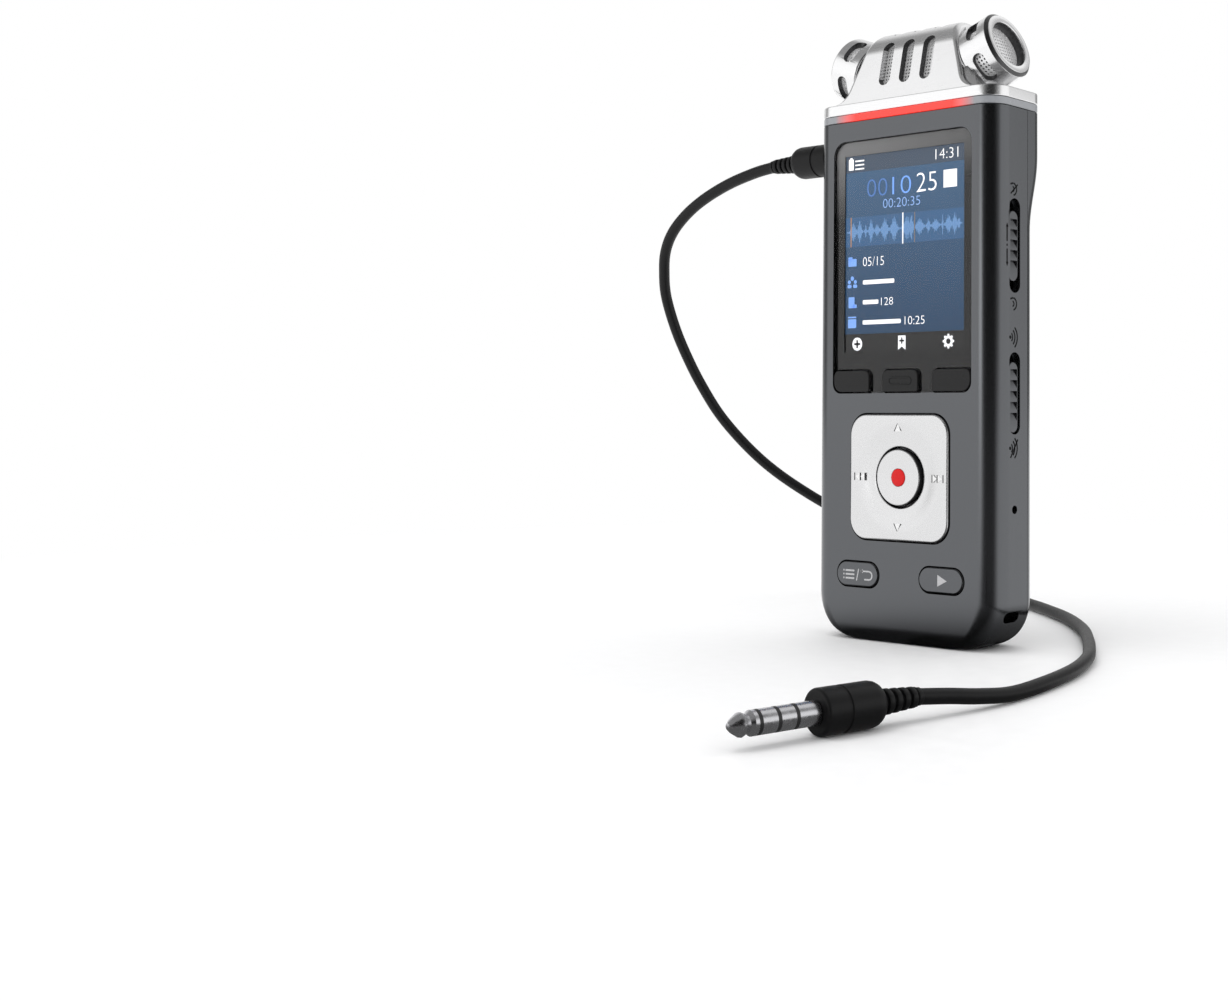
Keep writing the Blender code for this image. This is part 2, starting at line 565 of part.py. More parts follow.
def make_electronics(board, chip, metal, dark, battery, rubber):
    half, bottom, top = BOARD
    main = block("main_board", (-half, half), BOARD_DEPTH, (bottom, top), board, radius=1.5)
    cut(main, block("phones_notch", (-20, -6.5), (4, 8), (PHONES_SOCKET_Z - 3.4, PHONES_SOCKET_Z + 3.4)))
    block("processor", (-6, 6), (3.9, 4.9), (66, 78), chip)
    block("key_mat", (-16.2, 16.2), (4.35, 4.85), (9.3, 54.2), rubber, radius=1.0)
    block("battery", (-15, 15), (6.8, 11.0), (14, 58), battery, radius=1.2)
    x, z = GRILLE_CENTRE
    turned("speaker", [(8.5, 0), (8.5, 2.6), (7.0, 3.6)], point(x, 7.2, z), (0, 1, 0), dark, steps=28)
    for name, z in (("mic_socket", MIC_SOCKET_Z), ("phones_socket", PHONES_SOCKET_Z)):
        jack = block(name, (-21.0, -6.8), (SOCKET_DEPTH - 2.8, SOCKET_DEPTH + 2.8), (z - 2.8, z + 2.8), dark)
        nose, bore = point(-20.8, SOCKET_DEPTH, z), point(-7.4, SOCKET_DEPTH, z)
        add(jack, turned(f"{name}_nose", [(2.7, 0), (2.7, 2.1)], nose, (-1, 0, 0), steps=20))
        cut(jack, turned(f"{name}_bore", [(1.95, 0), (1.95, 16)], bore, (-1, 0, 0), steps=16))
    usb = block("usb_socket", (-3.8, 3.8), (6.3, 8.9), (0.9, 7.4), metal)
    cut(usb, block("usb_mouth", (-3.4, 3.4), (6.7, 8.5), (0, 6.4)))
    card = block("card_socket", (-20.9, -9.4), (6.4, 8.6), (60.9, 74.1), metal)
    cut(card, block("card_mouth", (-22, -10), (6.8, 8.2), (61.6, 73.4)))


def make_screws(finish):
    radius, height = SCREW_HEAD
    for number, (x, z) in enumerate(SCREWS, 1):
        seat = back_depth(z) - SEAT_SUNK + SEAM
        shank = seat - SCREW_FOOT
        profile = [(SCREW_RADIUS, 0), (SCREW_RADIUS, shank), (radius, shank), (radius, shank + height)]
        screw = turned(f"rear_screw_{number}", profile, point(x, SCREW_FOOT, z), (0, 1, 0), finish, steps=14)
        for turn in (0, 90):
            slot = block(f"screw_cross_{number}_{turn}", (-0.9, 0.9), (0, 4), (-0.2, 0.2))
            spin = Matrix.Rotation(math.radians(turn), 4, "Y")
            slot.matrix_local = (Matrix.Translation(point(x, seat + 0.5, z)) @ spin
                                 @ Matrix.Translation(-point(0, 0, 0)))
            cut(screw, slot)


# ---------------------------------------------------------------- lead and plugs

# The lead's route from the plug's relief to the far relief, as (x, depth, z): out to the left, over and
# down behind the recorder, along the ground and round to the front right.
ROUTE = (
    (-41.0, 6.5, 96.7), (-46.7, 6.5, 96.0), (-54.8, 6.6, 94.3), (-62.9, 6.9, 91.7), (-69.4, 7.4, 88.7),
    (-74.8, 8.2, 85.1), (-78.6, 9.5, 81.2), (-81.0, 11.2, 76.9), (-82.9, 13.5, 71.3), (-83.6, 17.0, 64.0),
    (-83.3, 20.5, 57.3), (-82.4, 24.0, 51.0), (-80.6, 28.0, 44.2), (-78.0, 32.3, 38.2), (-75.2, 36.5, 33.2),
    (-72.5, 40.5, 29.3), (-69.6, 44.5, 25.9), (-66.2, 48.8, 22.5), (-61.0, 55.0, 18.0), (-54.0, 61.5, 12.6),
    (-46.0, 66.3, 7.4), (-37.5, 68.6, 3.4), (-29.0, 67.9, 1.5), (-19.5, 63.7, 1.3), (-10.6, 57.5, 1.25),
    (-3.0, 52.4, 1.25), (10.2, 42.4, 1.25), (21.9, 30.7, 1.25), (30.0, 20.4, 1.25), (36.4, 11.3, 1.25),
    (42.7, 1.3, 1.25), (48.0, -10.9, 1.25), (51.2, -23.5, 1.25), (52.6, -34.5, 1.3), (52.2, -42.0, 2.0),
    (51.0, -48.0, 2.8), (49.7, -53.6, 3.4),
)
CORD_STEP = 5.4          # spacing of the points along the tube
MIC_RELIEF_X = -40.7     # where the near plug's relief starts
FAR_WAY = (-0.2, -0.98, 0)  # direction in which the far plug points
FAR_GAP = 0.3            # from the lead's end to the far relief


def smooth_route(points, step, parts=24):
    """Points a given step apart along the smooth curve through the route, found by way of fine parts."""
    knots = [Vector(p) for p in points]
    padded = [2 * knots[0] - knots[1], *knots, 2 * knots[-1] - knots[-2]]
    fine = []
    for before, start, end, after in zip(padded, padded[1:], padded[2:], padded[3:]):
        slope = end - before
        bend = 2 * before - 5 * start + 4 * end - after
        twist = 3 * start - before - 3 * end + after
        for t in (i / parts for i in range(parts)):
            fine.append(start + 0.5 * (slope * t + bend * t ** 2 + twist * t ** 3))
    fine.append(knots[-1])
    total = sum((b - a).length for a, b in zip(fine, fine[1:]))
    count = round(total / step)
    spaced, walked, target = [fine[0]], 0.0, total / count
    for a, b in zip(fine, fine[1:]):
        length = (b - a).length
        while length and walked + length >= target - 1e-9 and len(spaced) < count:
            spaced.append(a.lerp(b, (target - walked) / length))
            target += total / count
        walked += length
    return spaced + [fine[-1]]


def make_lead(rubber, metal):
    curve = bpy.data.curves.new("lead", "CURVE")
    curve.dimensions = "3D"
    curve.bevel_depth = CORD_DIAMETER / 2 * MM
    curve.bevel_resolution = 2
    curve.use_fill_caps = True
    route = smooth_route(ROUTE, CORD_STEP)
    spline = curve.splines.new("POLY")
    spline.points.add(len(route) - 1)
    for place, spot in zip(spline.points, route):
        place.co = (*point(*spot), 1.0)
    curve.materials.append(rubber)
    lead = bpy.data.objects.new("lead_cord", curve)
    lead.parent = root
    bpy.context.scene.collection.objects.link(lead)

    outward = Vector(FAR_WAY).normalized()
    make_plug("mic", point(MIC_RELIEF_X, SOCKET_DEPTH, MIC_SOCKET_Z), Vector((1, 0, 0)), rubber, metal)
    make_plug("far", point(*ROUTE[-1]) + outward * FAR_GAP * MM, outward, rubber, metal)


def make_plug(prefix, start, way, rubber, metal):
    """Strain relief, moulded body and metal pin, one behind the other along way from start."""
    cord = CORD_DIAMETER / 2
    relief = [(cord + 0.25, 0), (1.95, RELIEF_LENGTH - SEAM)]
    turned(f"{prefix}_plug_relief", relief, start, way, rubber, steps=16)
    end = RELIEF_LENGTH + PLUG_LENGTH
    body = [(2.5, RELIEF_LENGTH), (PLUG_RADIUS, RELIEF_LENGTH + 1.6), (PLUG_RADIUS, end - 0.5),
            (PLUG_RADIUS - 0.5, end)]
    turned(f"{prefix}_plug_body", body, start, way, rubber, steps=24)
    tip = end + PIN_LENGTH
    pin = [(1.75, end + SEAM), (1.75, tip - 3.4), (1.3, tip - 2.9), (1.7, tip - 2.0), (0.5, tip)]
    turned(f"{prefix}_plug_pin", pin, start, way, metal, steps=16)


# ---------------------------------------------------------------- assembly

def main():
    grey = material("graphite_shell", (0.16, 0.165, 0.175), 0.38)
    silver = material("satin_silver", (0.78, 0.78, 0.79), 0.28, 1.0)
    mesh = material("woven_mesh", (0.62, 0.62, 0.63), 0.35, 1.0)
    smoke = material("smoke_ring", (0.35, 0.36, 0.38), 0.25, alpha=0.8)
    red = material("red_lamp", (0.85, 0.06, 0.05), 0.4)
    glass = material("window_glass", (0.05, 0.05, 0.06), 0.08, alpha=0.35)
    panel = material("display_panel", (0.02, 0.08, 0.25), 0.3)
    white = material("white_tray", (0.8, 0.8, 0.8), 0.5)
    black = material("black_key", (0.02, 0.02, 0.022), 0.3)
    pad = material("silver_key", (0.7, 0.7, 0.71), 0.3, 0.9)
    board = material("circuit_board", (0.03, 0.16, 0.08), 0.5)
    chip = material("black_plastic", (0.02, 0.02, 0.02), 0.5)
    steel = material("steel", (0.6, 0.6, 0.6), 0.3, 1.0)
    cell = material("battery_wrap", (0.25, 0.3, 0.38), 0.4)
    silicone = material("keypad_silicone", (0.5, 0.5, 0.52), 0.7)
    rubber = material("black_rubber", (0.015, 0.015, 0.016), 0.55)

    make_front_housing(grey)
    make_rear_housing(grey)
    make_light_ring(smoke, red)
    make_head(silver, mesh, board, chip)
    make_display(glass, panel, white)
    make_keys(black, grey, pad, red)
    make_rocker(pad, chip)
    make_switch("hold", HOLD_KNOB, (70.5, 81.0), 10.0, grey, steel)
    make_switch("wireless", WIRELESS_KNOB, (42.5, 53.0), 9.4, grey, steel)
    make_electronics(board, chip, steel, chip, cell, silicone)
    make_screws(steel)
    make_lead(rubber, steel)


main()
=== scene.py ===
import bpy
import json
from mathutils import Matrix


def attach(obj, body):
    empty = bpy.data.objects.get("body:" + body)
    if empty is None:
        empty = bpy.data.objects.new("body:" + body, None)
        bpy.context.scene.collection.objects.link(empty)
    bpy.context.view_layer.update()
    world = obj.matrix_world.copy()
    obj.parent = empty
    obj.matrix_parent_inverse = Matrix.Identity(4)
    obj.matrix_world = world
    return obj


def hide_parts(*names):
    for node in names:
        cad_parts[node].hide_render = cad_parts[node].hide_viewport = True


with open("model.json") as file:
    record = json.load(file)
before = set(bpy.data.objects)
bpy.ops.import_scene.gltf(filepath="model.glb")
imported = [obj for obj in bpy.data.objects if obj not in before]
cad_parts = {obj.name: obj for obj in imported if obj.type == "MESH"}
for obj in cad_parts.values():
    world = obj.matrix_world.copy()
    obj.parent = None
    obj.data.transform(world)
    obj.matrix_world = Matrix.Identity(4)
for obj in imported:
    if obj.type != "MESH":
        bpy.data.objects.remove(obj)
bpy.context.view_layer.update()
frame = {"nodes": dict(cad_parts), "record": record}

# Looks of a handheld voice recorder that stands upright with a lead in its left side.
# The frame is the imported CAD's: metres, +Z up, the front faces -Y. Lengths below are millimetres,
# and "depth" is measured backwards from the flat front face.

import json
import math

import bmesh
import bpy
from mathutils import Vector

MM = 0.001
FRONT = -7.5             # Y of the flat front face
HALF_WIDTH = 23.0
DEPTH_MAIN = 13.0
DEPTH_TOP = 15.5
RAISE = 0.5              # how far the nav pad stands out of the front
HOUSING_TOP = 102.4
SHOULDER_BOTTOM = 104.0
SHOULDER_TOP = 106.2
HEAD_TOP = 120.8
WALL = 1.6
SEAM = 0.1               # gap at a fixed joint between two pieces
KEY_GAP = 0.25           # gap round a key that moves
PARTING = 10.4           # depth of the split between the front and rear housings
FOOT_RADIUS = 9.0        # bottom corners, seen from the front
FOOT_ROUND = (1.6, 2.8)  # rounding under the front and back: depth, height
FRONT_CORNER = 4.6
REAR_CORNER = 2.8
HUMP = (79.0, 94.0)      # heights between which the back swells from DEPTH_MAIN to DEPTH_TOP
WINDOW = (17.55, 48.2, 98.5)             # half width, bottom, top
WINDOW_RADII = (2.5, 2.5, 2.9, 2.9)
WINDOW_DEPTH = 0.9
DISPLAY_OPENING = (16.1, 55.2, 97.0)     # half width, bottom, top
PANEL = (15.8, 55.5, 96.7)               # half width, bottom, top
ACTIVE = (15.2, 56.4, 95.6)              # half width, bottom, top of the lit area
FUNCTION_TOP = 53.0
NAV_HALF = 12.6
NAV_TRIM = 0.15          # how much nearer its middle the pad's top and bottom edges are
NAV_CENTRE = 31.95
NAV_RADIUS = 4.2
RECORD_RADIUS = 5.4
RECORD_HOLE = 5.95
DOT_RADIUS = 1.68
LOW_KEY = (4.9, 16.1, 10.2, 15.5)        # inner and outer edge, bottom, top
SLOT_DEPTH = 6.3
SLOT_WIDTH = 3.4
HOLD_SLOT = (67.0, 84.9)
HOLD_KNOB = (69.2, 82.6)
WIRELESS_SLOT = (40.35, 55.8)
WIRELESS_KNOB = (40.6, 54.0)
PINHOLE = (26.3, 0.8)    # height, radius
SOCKET_DEPTH = 6.5
SOCKET_HOLE = 2.9
MIC_SOCKET_Z = 96.7
PHONES_SOCKET_Z = 82.0
CARD_SLOT = ((6.7, 8.3), (61.5, 73.5))   # depths, heights
USB_OPENING = (-4.1, 4.1, 6.0, 9.2)      # low and high x, near and far depth
SCREWS = ((-15.5, 6.0), (15.5, 6.0), (-19.0, 90.6), (19.0, 90.6))
BARREL_TILT = math.radians(20.0)
BARREL_RIM = (20.2, 8.3, 115.15)         # centre of the right rim's face: x, depth, z
BARREL_LENGTH = 7.3
BARREL_RADIUS = 6.7
BARREL_BORE = 5.6
BARREL_MOUTH = 4.6
HEAD_LEAN_FRONT = math.radians(12.0)
HEAD_LEAN_REAR = math.radians(4.0)
HEAD_WALL = 1.3
HEAD_SLOT_PITCH = 5.2
HEAD_SLOT = (2.85, 109.0, 117.9)         # width, bottom, top, in the front and in the back
RIDGE_SLOT = (4.85, 12.0)                # near and far depth of the slots over the top
CORD_DIAMETER = 2.4
PLUG_RADIUS = 3.35
PLUG_LENGTH = 10.6
RELIEF_LENGTH = 6.8
PIN_LENGTH = 14.0
COLLAR = 0.7             # how far the strain relief's end ring reaches over the lead


def point(x, depth, z):
    return Vector((x, FRONT + depth, z)) * MM


# ------------------------------------------------------------------ camera

view = bpy.data.cameras.new("view")
view.sensor_width = 36.0
view.lens = 45.53
view.shift_x = -0.3453
view.shift_y = -0.1336
view.clip_start = 0.01
camera = bpy.data.objects.new("view", view)
camera.location = (0.1966, -0.2359, 0.04495)
camera.rotation_euler = (math.radians(92.73), 0.0, math.radians(35.63))
bpy.context.scene.collection.objects.link(camera)
bpy.context.scene.camera = camera
bpy.context.scene.view_settings.view_transform = "Standard"


# ------------------------------------------------------------------ materials

def maths_node(nodes, links, operation, *sources):
    made = nodes.new("ShaderNodeMath")
    made.operation = operation
    for socket, source in zip(made.inputs, sources):
        if isinstance(source, (int, float)):
            socket.default_value = source
        else:
            links.new(source, socket)
    return made.outputs["Value"]


def along_node(nodes, links, way, direction):
    """How nearly the way points in a direction: the dot product of the two."""
    dot = nodes.new("ShaderNodeVectorMath")
    dot.operation = "DOT_PRODUCT"
    links.new(way, dot.inputs[0])
    dot.inputs[1].default_value = direction
    return dot.outputs["Value"]


class Finish:
    """A Principled material with fine grain in its colour, roughness and surface."""

    def __init__(self, name, colour, roughness, metallic=0.0, grain=4000.0, stretch=(1, 1, 1),
                 shade=0.06, spread=0.06, relief=0.1, height=0.00002, **settings):
        self.material = bpy.data.materials.new(name)
        self.material.use_nodes = True
        tree = self.material.node_tree
        self.nodes, self.links = tree.nodes, tree.links
        self.shader = self.nodes["Principled BSDF"]
        self.place = self.node("ShaderNodeTexCoord")
        mapping = self.node("ShaderNodeMapping")
        mapping.inputs["Scale"].default_value = [grain * side for side in stretch]
        self.links.new(self.place.outputs["Object"], mapping.inputs["Vector"])
        noise = self.node("ShaderNodeTexNoise")
        noise.inputs["Scale"].default_value = 1.0
        noise.inputs["Detail"].default_value = 3.0
        self.links.new(mapping.outputs["Vector"], noise.inputs["Vector"])
        self.noise = noise.outputs["Fac"]
        dark = [part * (1 - shade) for part in colour]
        light = [min(part * (1 + shade), 1.0) for part in colour]
        self.colour = self.ramp(self.noise, ((0.3, dark), (0.7, light)))
        self.links.new(self.colour, self.shader.inputs["Base Color"])
        self.links.new(self.span(self.noise, 0.3, 0.7, roughness - spread, roughness + spread),
                       self.shader.inputs["Roughness"])
        self.shader.inputs["Metallic"].default_value = metallic
        if relief:
            bump = self.node("ShaderNodeBump")
            bump.inputs["Strength"].default_value = relief
            bump.inputs["Distance"].default_value = height
            self.links.new(self.noise, bump.inputs["Height"])
            self.links.new(bump.outputs["Normal"], self.shader.inputs["Normal"])
        for socket, value in settings.items():
            self.shader.inputs[socket.replace("_", " ")].default_value = value

    def node(self, kind):
        return self.nodes.new(kind)

    def ramp(self, source, stops):
        ramp = self.node("ShaderNodeValToRGB")
        self.links.new(source, ramp.inputs["Fac"])
        table = ramp.color_ramp.elements
        while len(table) < len(stops):
            table.new(0.5)
        for element, (position, colour) in zip(table, stops):
            element.position = position
            element.color = (*colour, 1.0)
        return ramp.outputs["Color"]

    def span(self, source, low, high, to_low, to_high):
        span = self.node("ShaderNodeMapRange")
        self.links.new(source, span.inputs["Value"])
        for socket, value in (("From Min", low), ("From Max", high), ("To Min", to_low), ("To Max", to_high)):
            span.inputs[socket].default_value = value
        return span.outputs["Result"]

    def maths(self, operation, *sources):
        return maths_node(self.nodes, self.links, operation, *sources)

    def axes(self):
        split = self.node("ShaderNodeSeparateXYZ")
        self.links.new(self.place.outputs["Object"], split.inputs["Vector"])
        return split.outputs

    def mix(self, share, first, second):
        mixed = self.node("ShaderNodeMix")
        mixed.data_type = "RGBA"
        self.links.new(share, mixed.inputs["Factor"])
        for socket, source in ((mixed.inputs[6], first), (mixed.inputs[7], second)):
            if isinstance(source, tuple):
                socket.default_value = (*source, 1.0)
            else:
                self.links.new(source, socket)
        return mixed.outputs[2]


def smoke_ring():
    """Smoke-grey light guide, lit red across the front and fading towards both ends."""
    made = Finish("smoke_ring", (0.30, 0.31, 0.33), 0.22, grain=1500.0, shade=0.04, relief=0.05,
                  Coat_Weight=0.3, Coat_Roughness=0.1)
    across, back, _ = made.axes()
    fade_in = made.span(across, -0.0172, -0.0118, 0.0, 1.0)
    fade_out = made.span(across, 0.0128, 0.0182, 1.0, 0.0)
    near_front = made.span(back, -0.0074, -0.0066, 1.0, 0.0)
    glow = made.maths("MULTIPLY", made.maths("MULTIPLY", fade_in, fade_out), near_front)
    made.links.new(made.mix(glow, made.colour, (0.50, 0.01, 0.008)), made.shader.inputs["Base Color"])
    made.shader.inputs["Emission Color"].default_value = (1.0, 0.042, 0.025, 1.0)
    made.links.new(made.maths("MULTIPLY", glow, 0.85), made.shader.inputs["Emission Strength"])
    return made.material


def window_print_and_painted_glare():
    """The display's black border, with painted glare: a little greyer towards its upper left corner, a
    reflection painted into its colour.
    """
    made = Finish("window_mask", (0.012, 0.012, 0.013), 0.08, grain=400.0, spread=0.01, relief=0.0)
    across, _, up = made.axes()
    # Painted glare: the colour rises from near black to grey towards the upper left.
    rise = made.maths("SUBTRACT", up, made.maths("MULTIPLY", across, 0.22))
    share = made.span(rise, 0.070, 0.1015, 0.0, 1.0)
    made.links.new(made.ramp(share, ((0.0, (0.002, 0.002, 0.002)), (0.5, (0.014, 0.014, 0.014)),
                                     (1.0, (0.25, 0.25, 0.253)))), made.shader.inputs["Base Color"])
    return made.material


def lit(name, top, bottom, strength):
    """A lit patch of the display, with painted glare: a little brighter towards its top."""
    made = Finish(name, (0.01, 0.01, 0.012), 0.08, grain=400.0, spread=0.01, relief=0.0)
    height = made.axes()[2]
    # Painted glare: the colour brightens from the bottom to the top.
    colour = made.ramp(made.span(height, 0.056, 0.096, 0.0, 1.0), ((0.0, bottom), (1.0, top)))
    made.links.new(colour, made.shader.inputs["Emission Color"])
    made.links.new(colour, made.shader.inputs["Base Color"])
    made.shader.inputs["Emission Strength"].default_value = strength
    return made.material


FINISHES = {             # colour, roughness, and what differs from the usual
    "graphite_shell": ((0.116, 0.120, 0.127), 0.2, dict(
        metallic=0.97, grain=5200.0, spread=0.03, relief=0.05)),
    "satin_silver": ((0.80, 0.80, 0.805), 0.24, dict(
        metallic=1.0, grain=900.0, stretch=(0.5, 6, 6), shade=0.03, spread=0.04, relief=0.08,
        height=0.00001)),
    # The woven mesh's faint white emission is a painted glow that brightens it; the mesh is no lamp.
    "woven_mesh": ((0.84, 0.84, 0.85), 0.3, dict(
        metallic=0.5, grain=3000.0, Emission_Color=(0.9, 0.9, 0.9, 1.0), Emission_Strength=0.12)),
    "red_lamp": ((0.60, 0.008, 0.008), 0.35, dict(
        grain=2500.0, relief=0.05, Specular_IOR_Level=0.25, Emission_Color=(1.0, 0.01, 0.01, 1.0),
        Emission_Strength=0.07)),
    "window_glass": ((0.01, 0.01, 0.011), 0.05, dict(
        grain=400.0, shade=0.02, spread=0.01, relief=0.0, Alpha=0.06)),
    "display_panel": ((0.02, 0.021, 0.024), 0.3, dict(grain=3000.0, relief=0.0)),
    "white_tray": ((0.78, 0.78, 0.78), 0.5, dict(grain=2500.0)),
    "black_key": ((0.009, 0.009, 0.0095), 0.3, dict(
        grain=5200.0, shade=0.2, relief=0.05, Specular_IOR_Level=0.25)),
    "silver_key": ((0.66, 0.66, 0.665), 0.26, dict(metallic=0.95, grain=5200.0, shade=0.03, relief=0.08)),
    "circuit_board": ((0.02, 0.15, 0.07), 0.45, dict(grain=900.0, shade=0.3)),
    # black_plastic also stands as painted shade on the walls in the gaps round the keys, the pad, the button
    # and the openings.
    "black_plastic": ((0.016, 0.016, 0.017), 0.45, dict(grain=3500.0, shade=0.2)),
    "steel": ((0.58, 0.58, 0.60), 0.26, dict(metallic=1.0, grain=1500.0, shade=0.08)),
    "battery_wrap": ((0.25, 0.30, 0.38), 0.4, dict(grain=700.0, shade=0.1)),
    "keypad_silicone": ((0.48, 0.48, 0.50), 0.65, dict(grain=1800.0)),
    "black_rubber": ((0.006, 0.006, 0.0065), 0.45, dict(
        grain=2600.0, shade=0.2, relief=0.2, Specular_IOR_Level=0.22)),
    # dark_metal also stands as painted shade inside the head and the barrels.
    "dark_metal": ((0.09, 0.09, 0.092), 0.35, dict(metallic=0.9, grain=2000.0)),
    "mark_dark": ((0.008, 0.008, 0.009), 0.6, dict(grain=4000.0, relief=0.0, Specular_IOR_Level=0.1)),
    "mark_pale": ((0.52, 0.52, 0.53), 0.5, dict(grain=4000.0, relief=0.0)),
    "mark_silver": ((0.86, 0.86, 0.86), 0.3, dict(grain=4000.0, relief=0.0)),
}
# The colour at the top is brighter than at the bottom as painted glare.
LIT = (                  # name, colour at the top and at the bottom, strength
    ("lit_blue", (0.040, 0.094, 0.178), (0.006, 0.031, 0.078), 0.5),
    ("lit_head", (0.045, 0.065, 0.098), (0.034, 0.058, 0.098), 0.5),
    ("lit_bar", (0.006, 0.006, 0.006), (0.006, 0.006, 0.006), 0.5),
    ("lit_band", (0.036, 0.100, 0.210), (0.028, 0.084, 0.185), 0.5),
    ("lit_wave", (0.13, 0.27, 0.50), (0.11, 0.22, 0.43), 0.5),
    ("lit_orange", (0.38, 0.20, 0.08), (0.38, 0.20, 0.08), 0.5),
    ("lit_grey", (0.15, 0.14, 0.13), (0.15, 0.14, 0.13), 0.5),
    ("lit_white", (1.0, 1.0, 1.0), (0.96, 0.97, 1.0), 0.5),
    ("lit_pale", (0.16, 0.35, 0.85), (0.18, 0.34, 0.72), 0.55),
    ("lit_timer", (0.26, 0.43, 0.78), (0.26, 0.43, 0.78), 0.5),
    ("lit_dim", (0.07, 0.17, 0.43), (0.07, 0.17, 0.43), 0.5),
)
materials = {name: Finish(name, colour, roughness, **rest).material
             for name, (colour, roughness, rest) in FINISHES.items()}
materials["smoke_ring"] = smoke_ring()
materials["window_mask"] = window_print_and_painted_glare()
for name, top, bottom, strength in LIT:
    materials[name] = lit(name, top, bottom, strength)
for row in frame["record"]["subparts"]:
    mesh = frame["nodes"][row["node"]].data
    mesh.materials.clear()
    mesh.materials.append(materials[row["material_slot"]])


# ------------------------------------------------------------------ shape tools

def rounded(low_u, high_u, low_v, high_v, radii, steps=10):
    """Rectangle with round corners, anticlockwise from the low-low corner."""
    if not isinstance(radii, tuple):
        radii = (radii,) * 4
    corners = ((low_u, low_v, 1, 1), (high_u, low_v, -1, 1), (high_u, high_v, -1, -1), (low_u, high_v, 1, -1))
    outline = []
    for number, ((u, v, side_u, side_v), radius) in enumerate(zip(corners, radii)):
        if radius <= 0:
            outline.append((u, v))
            continue
        for step in range(steps + 1):
            angle = math.pi + math.pi / 2 * (number + step / steps)
            outline.append((u + side_u * radius + radius * math.cos(angle),
                            v + side_v * radius + radius * math.sin(angle)))
    return outline


def radians(*angles):
    return [math.radians(angle) for angle in angles]


QUARTER = radians(0, 30, 60, 90)


def round_edge(radius, height, size, way=1):
    """(radius, height) points of a rounded rim, from the side face to the end face."""
    return [(radius - size * (1 - math.sin(a)), height - way * size * (1 - math.cos(a)))
            for a in reversed(QUARTER)]


def arc(centre_u, centre_v, radius, turns):
    """Points round a centre, at angles in radians."""
    return [(centre_u + radius * math.cos(a), centre_v + radius * math.sin(a)) for a in turns]


def circle(centre_u, centre_v, radius, steps=48):
    return arc(centre_u, centre_v, radius, [2 * math.pi * i / steps for i in range(steps)])


def linked(name, mesh):
    made = bpy.data.objects.new(name, mesh)
    bpy.context.scene.collection.objects.link(made)
    return made


def finished(name, shape):
    """The bmesh as an object of its own."""
    mesh = bpy.data.meshes.new(name)
    shape.to_mesh(mesh)
    shape.free()
    return linked(name, mesh)


def evaluated(made):
    graph = bpy.context.evaluated_depsgraph_get()
    return bpy.data.meshes.new_from_object(made.evaluated_get(graph), depsgraph=graph)


def solid(name, rings, closed=False):
    """One closed body through a stack of rings with equal point counts."""
    shape = bmesh.new()
    loops = [[shape.verts.new(corner) for corner in ring] for ring in rings]
    for low, high in list(zip(loops, loops[1:])) + ([(loops[-1], loops[0])] if closed else []):
        for i in range(len(low)):
            j = (i + 1) % len(low)
            shape.faces.new((low[i], low[j], high[j], high[i]))
    if not closed:
        shape.faces.new(reversed(loops[0]))
        shape.faces.new(loops[-1])
    bmesh.ops.recalc_face_normals(shape, faces=shape.faces)
    return finished(name, shape)


def along_y(name, outline, depths):
    return solid(name, [[point(x, depth, z) for x, z in outline] for depth in depths])


def cushioned(name, outline_at, face, back, edge):
    """An (x, z) outline carried backwards, its front edge rounded.

    outline_at gives the outline, shrunk by a distance.
    """
    rings = [[point(x, face + edge * (1 - math.sin(a)), z) for x, z in outline_at(edge * (1 - math.cos(a)))]
             for a in reversed(QUARTER)]
    rings.append([point(x, back, z) for x, z in outline_at(0.0)])
    return solid(name, rings)


def along_x(name, outline, ends):
    return solid(name, [[point(x, depth, z) for depth, z in outline] for x in ends])


def block(name, xs, depths, zs, radius=0.0):
    return along_y(name, rounded(*xs, *zs, radius, 6), depths)


def turned(name, profile, centre, axis, closed=False, steps=72):
    """A profile of (radius, height) turned about an axis through centre."""
    turn = Vector((0, 0, 1)).rotation_difference(Vector(axis)).to_matrix()
    rings = [[centre + turn @ (Vector((x, y, height)) * MM) for x, y in circle(0, 0, radius, steps)]
             for radius, height in profile]
    return solid(name, rings, closed)


def settle(made):
    """Fixes the modifiers' result as the mesh."""
    mesh = evaluated(made)
    made.modifiers.clear()
    made.data = mesh
    return made


def combine(made, operation, tools):
    for tool in tools:
        step = made.modifiers.new("step", "BOOLEAN")
        step.operation = operation
        step.solver = "EXACT"
        step.object = tool
    settle(made)
    for tool in tools:
        bpy.data.objects.remove(tool)
    return made


def cut(made, *tools):
    return combine(made, "DIFFERENCE", tools)


def add(made, *tools):
    return combine(made, "UNION", tools)


def soften(made, width, angle=40.0, segments=2):
    """Rounds the sharp edges a little, so that they catch the light."""
    edge = made.modifiers.new("edge", "BEVEL")
    edge.width = width * MM
    edge.segments = segments
    edge.limit_method = "ANGLE"
    edge.angle_limit = math.radians(angle)
    edge.use_clamp_overlap = True
    return settle(made)


def dress(made, slot, body="casing", nodes=(), material=None, smooth=35.0, second=None, where=None):
    """Material, shading, and the body and CAD nodes that the piece goes with.

    A second material goes on the faces for which where(x, depth, z, normal) holds.
    """
    made.data.materials.clear()
    made.data.materials.append(materials[material or slot])
    if second:
        made.data.materials.append(materials[second])
        for face in made.data.polygons:
            x, y, z = face.center / MM
            if where(x, y - FRONT, z, face.normal):
                face.material_index = 1
    made.data.shade_smooth()
    made.data.set_sharp_from_angle(angle=math.radians(smooth))
    flat = made.modifiers.new("flat", "WEIGHTED_NORMAL")
    flat.keep_sharp = True
    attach(made, body)
    if nodes:
        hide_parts(*nodes)
    return made


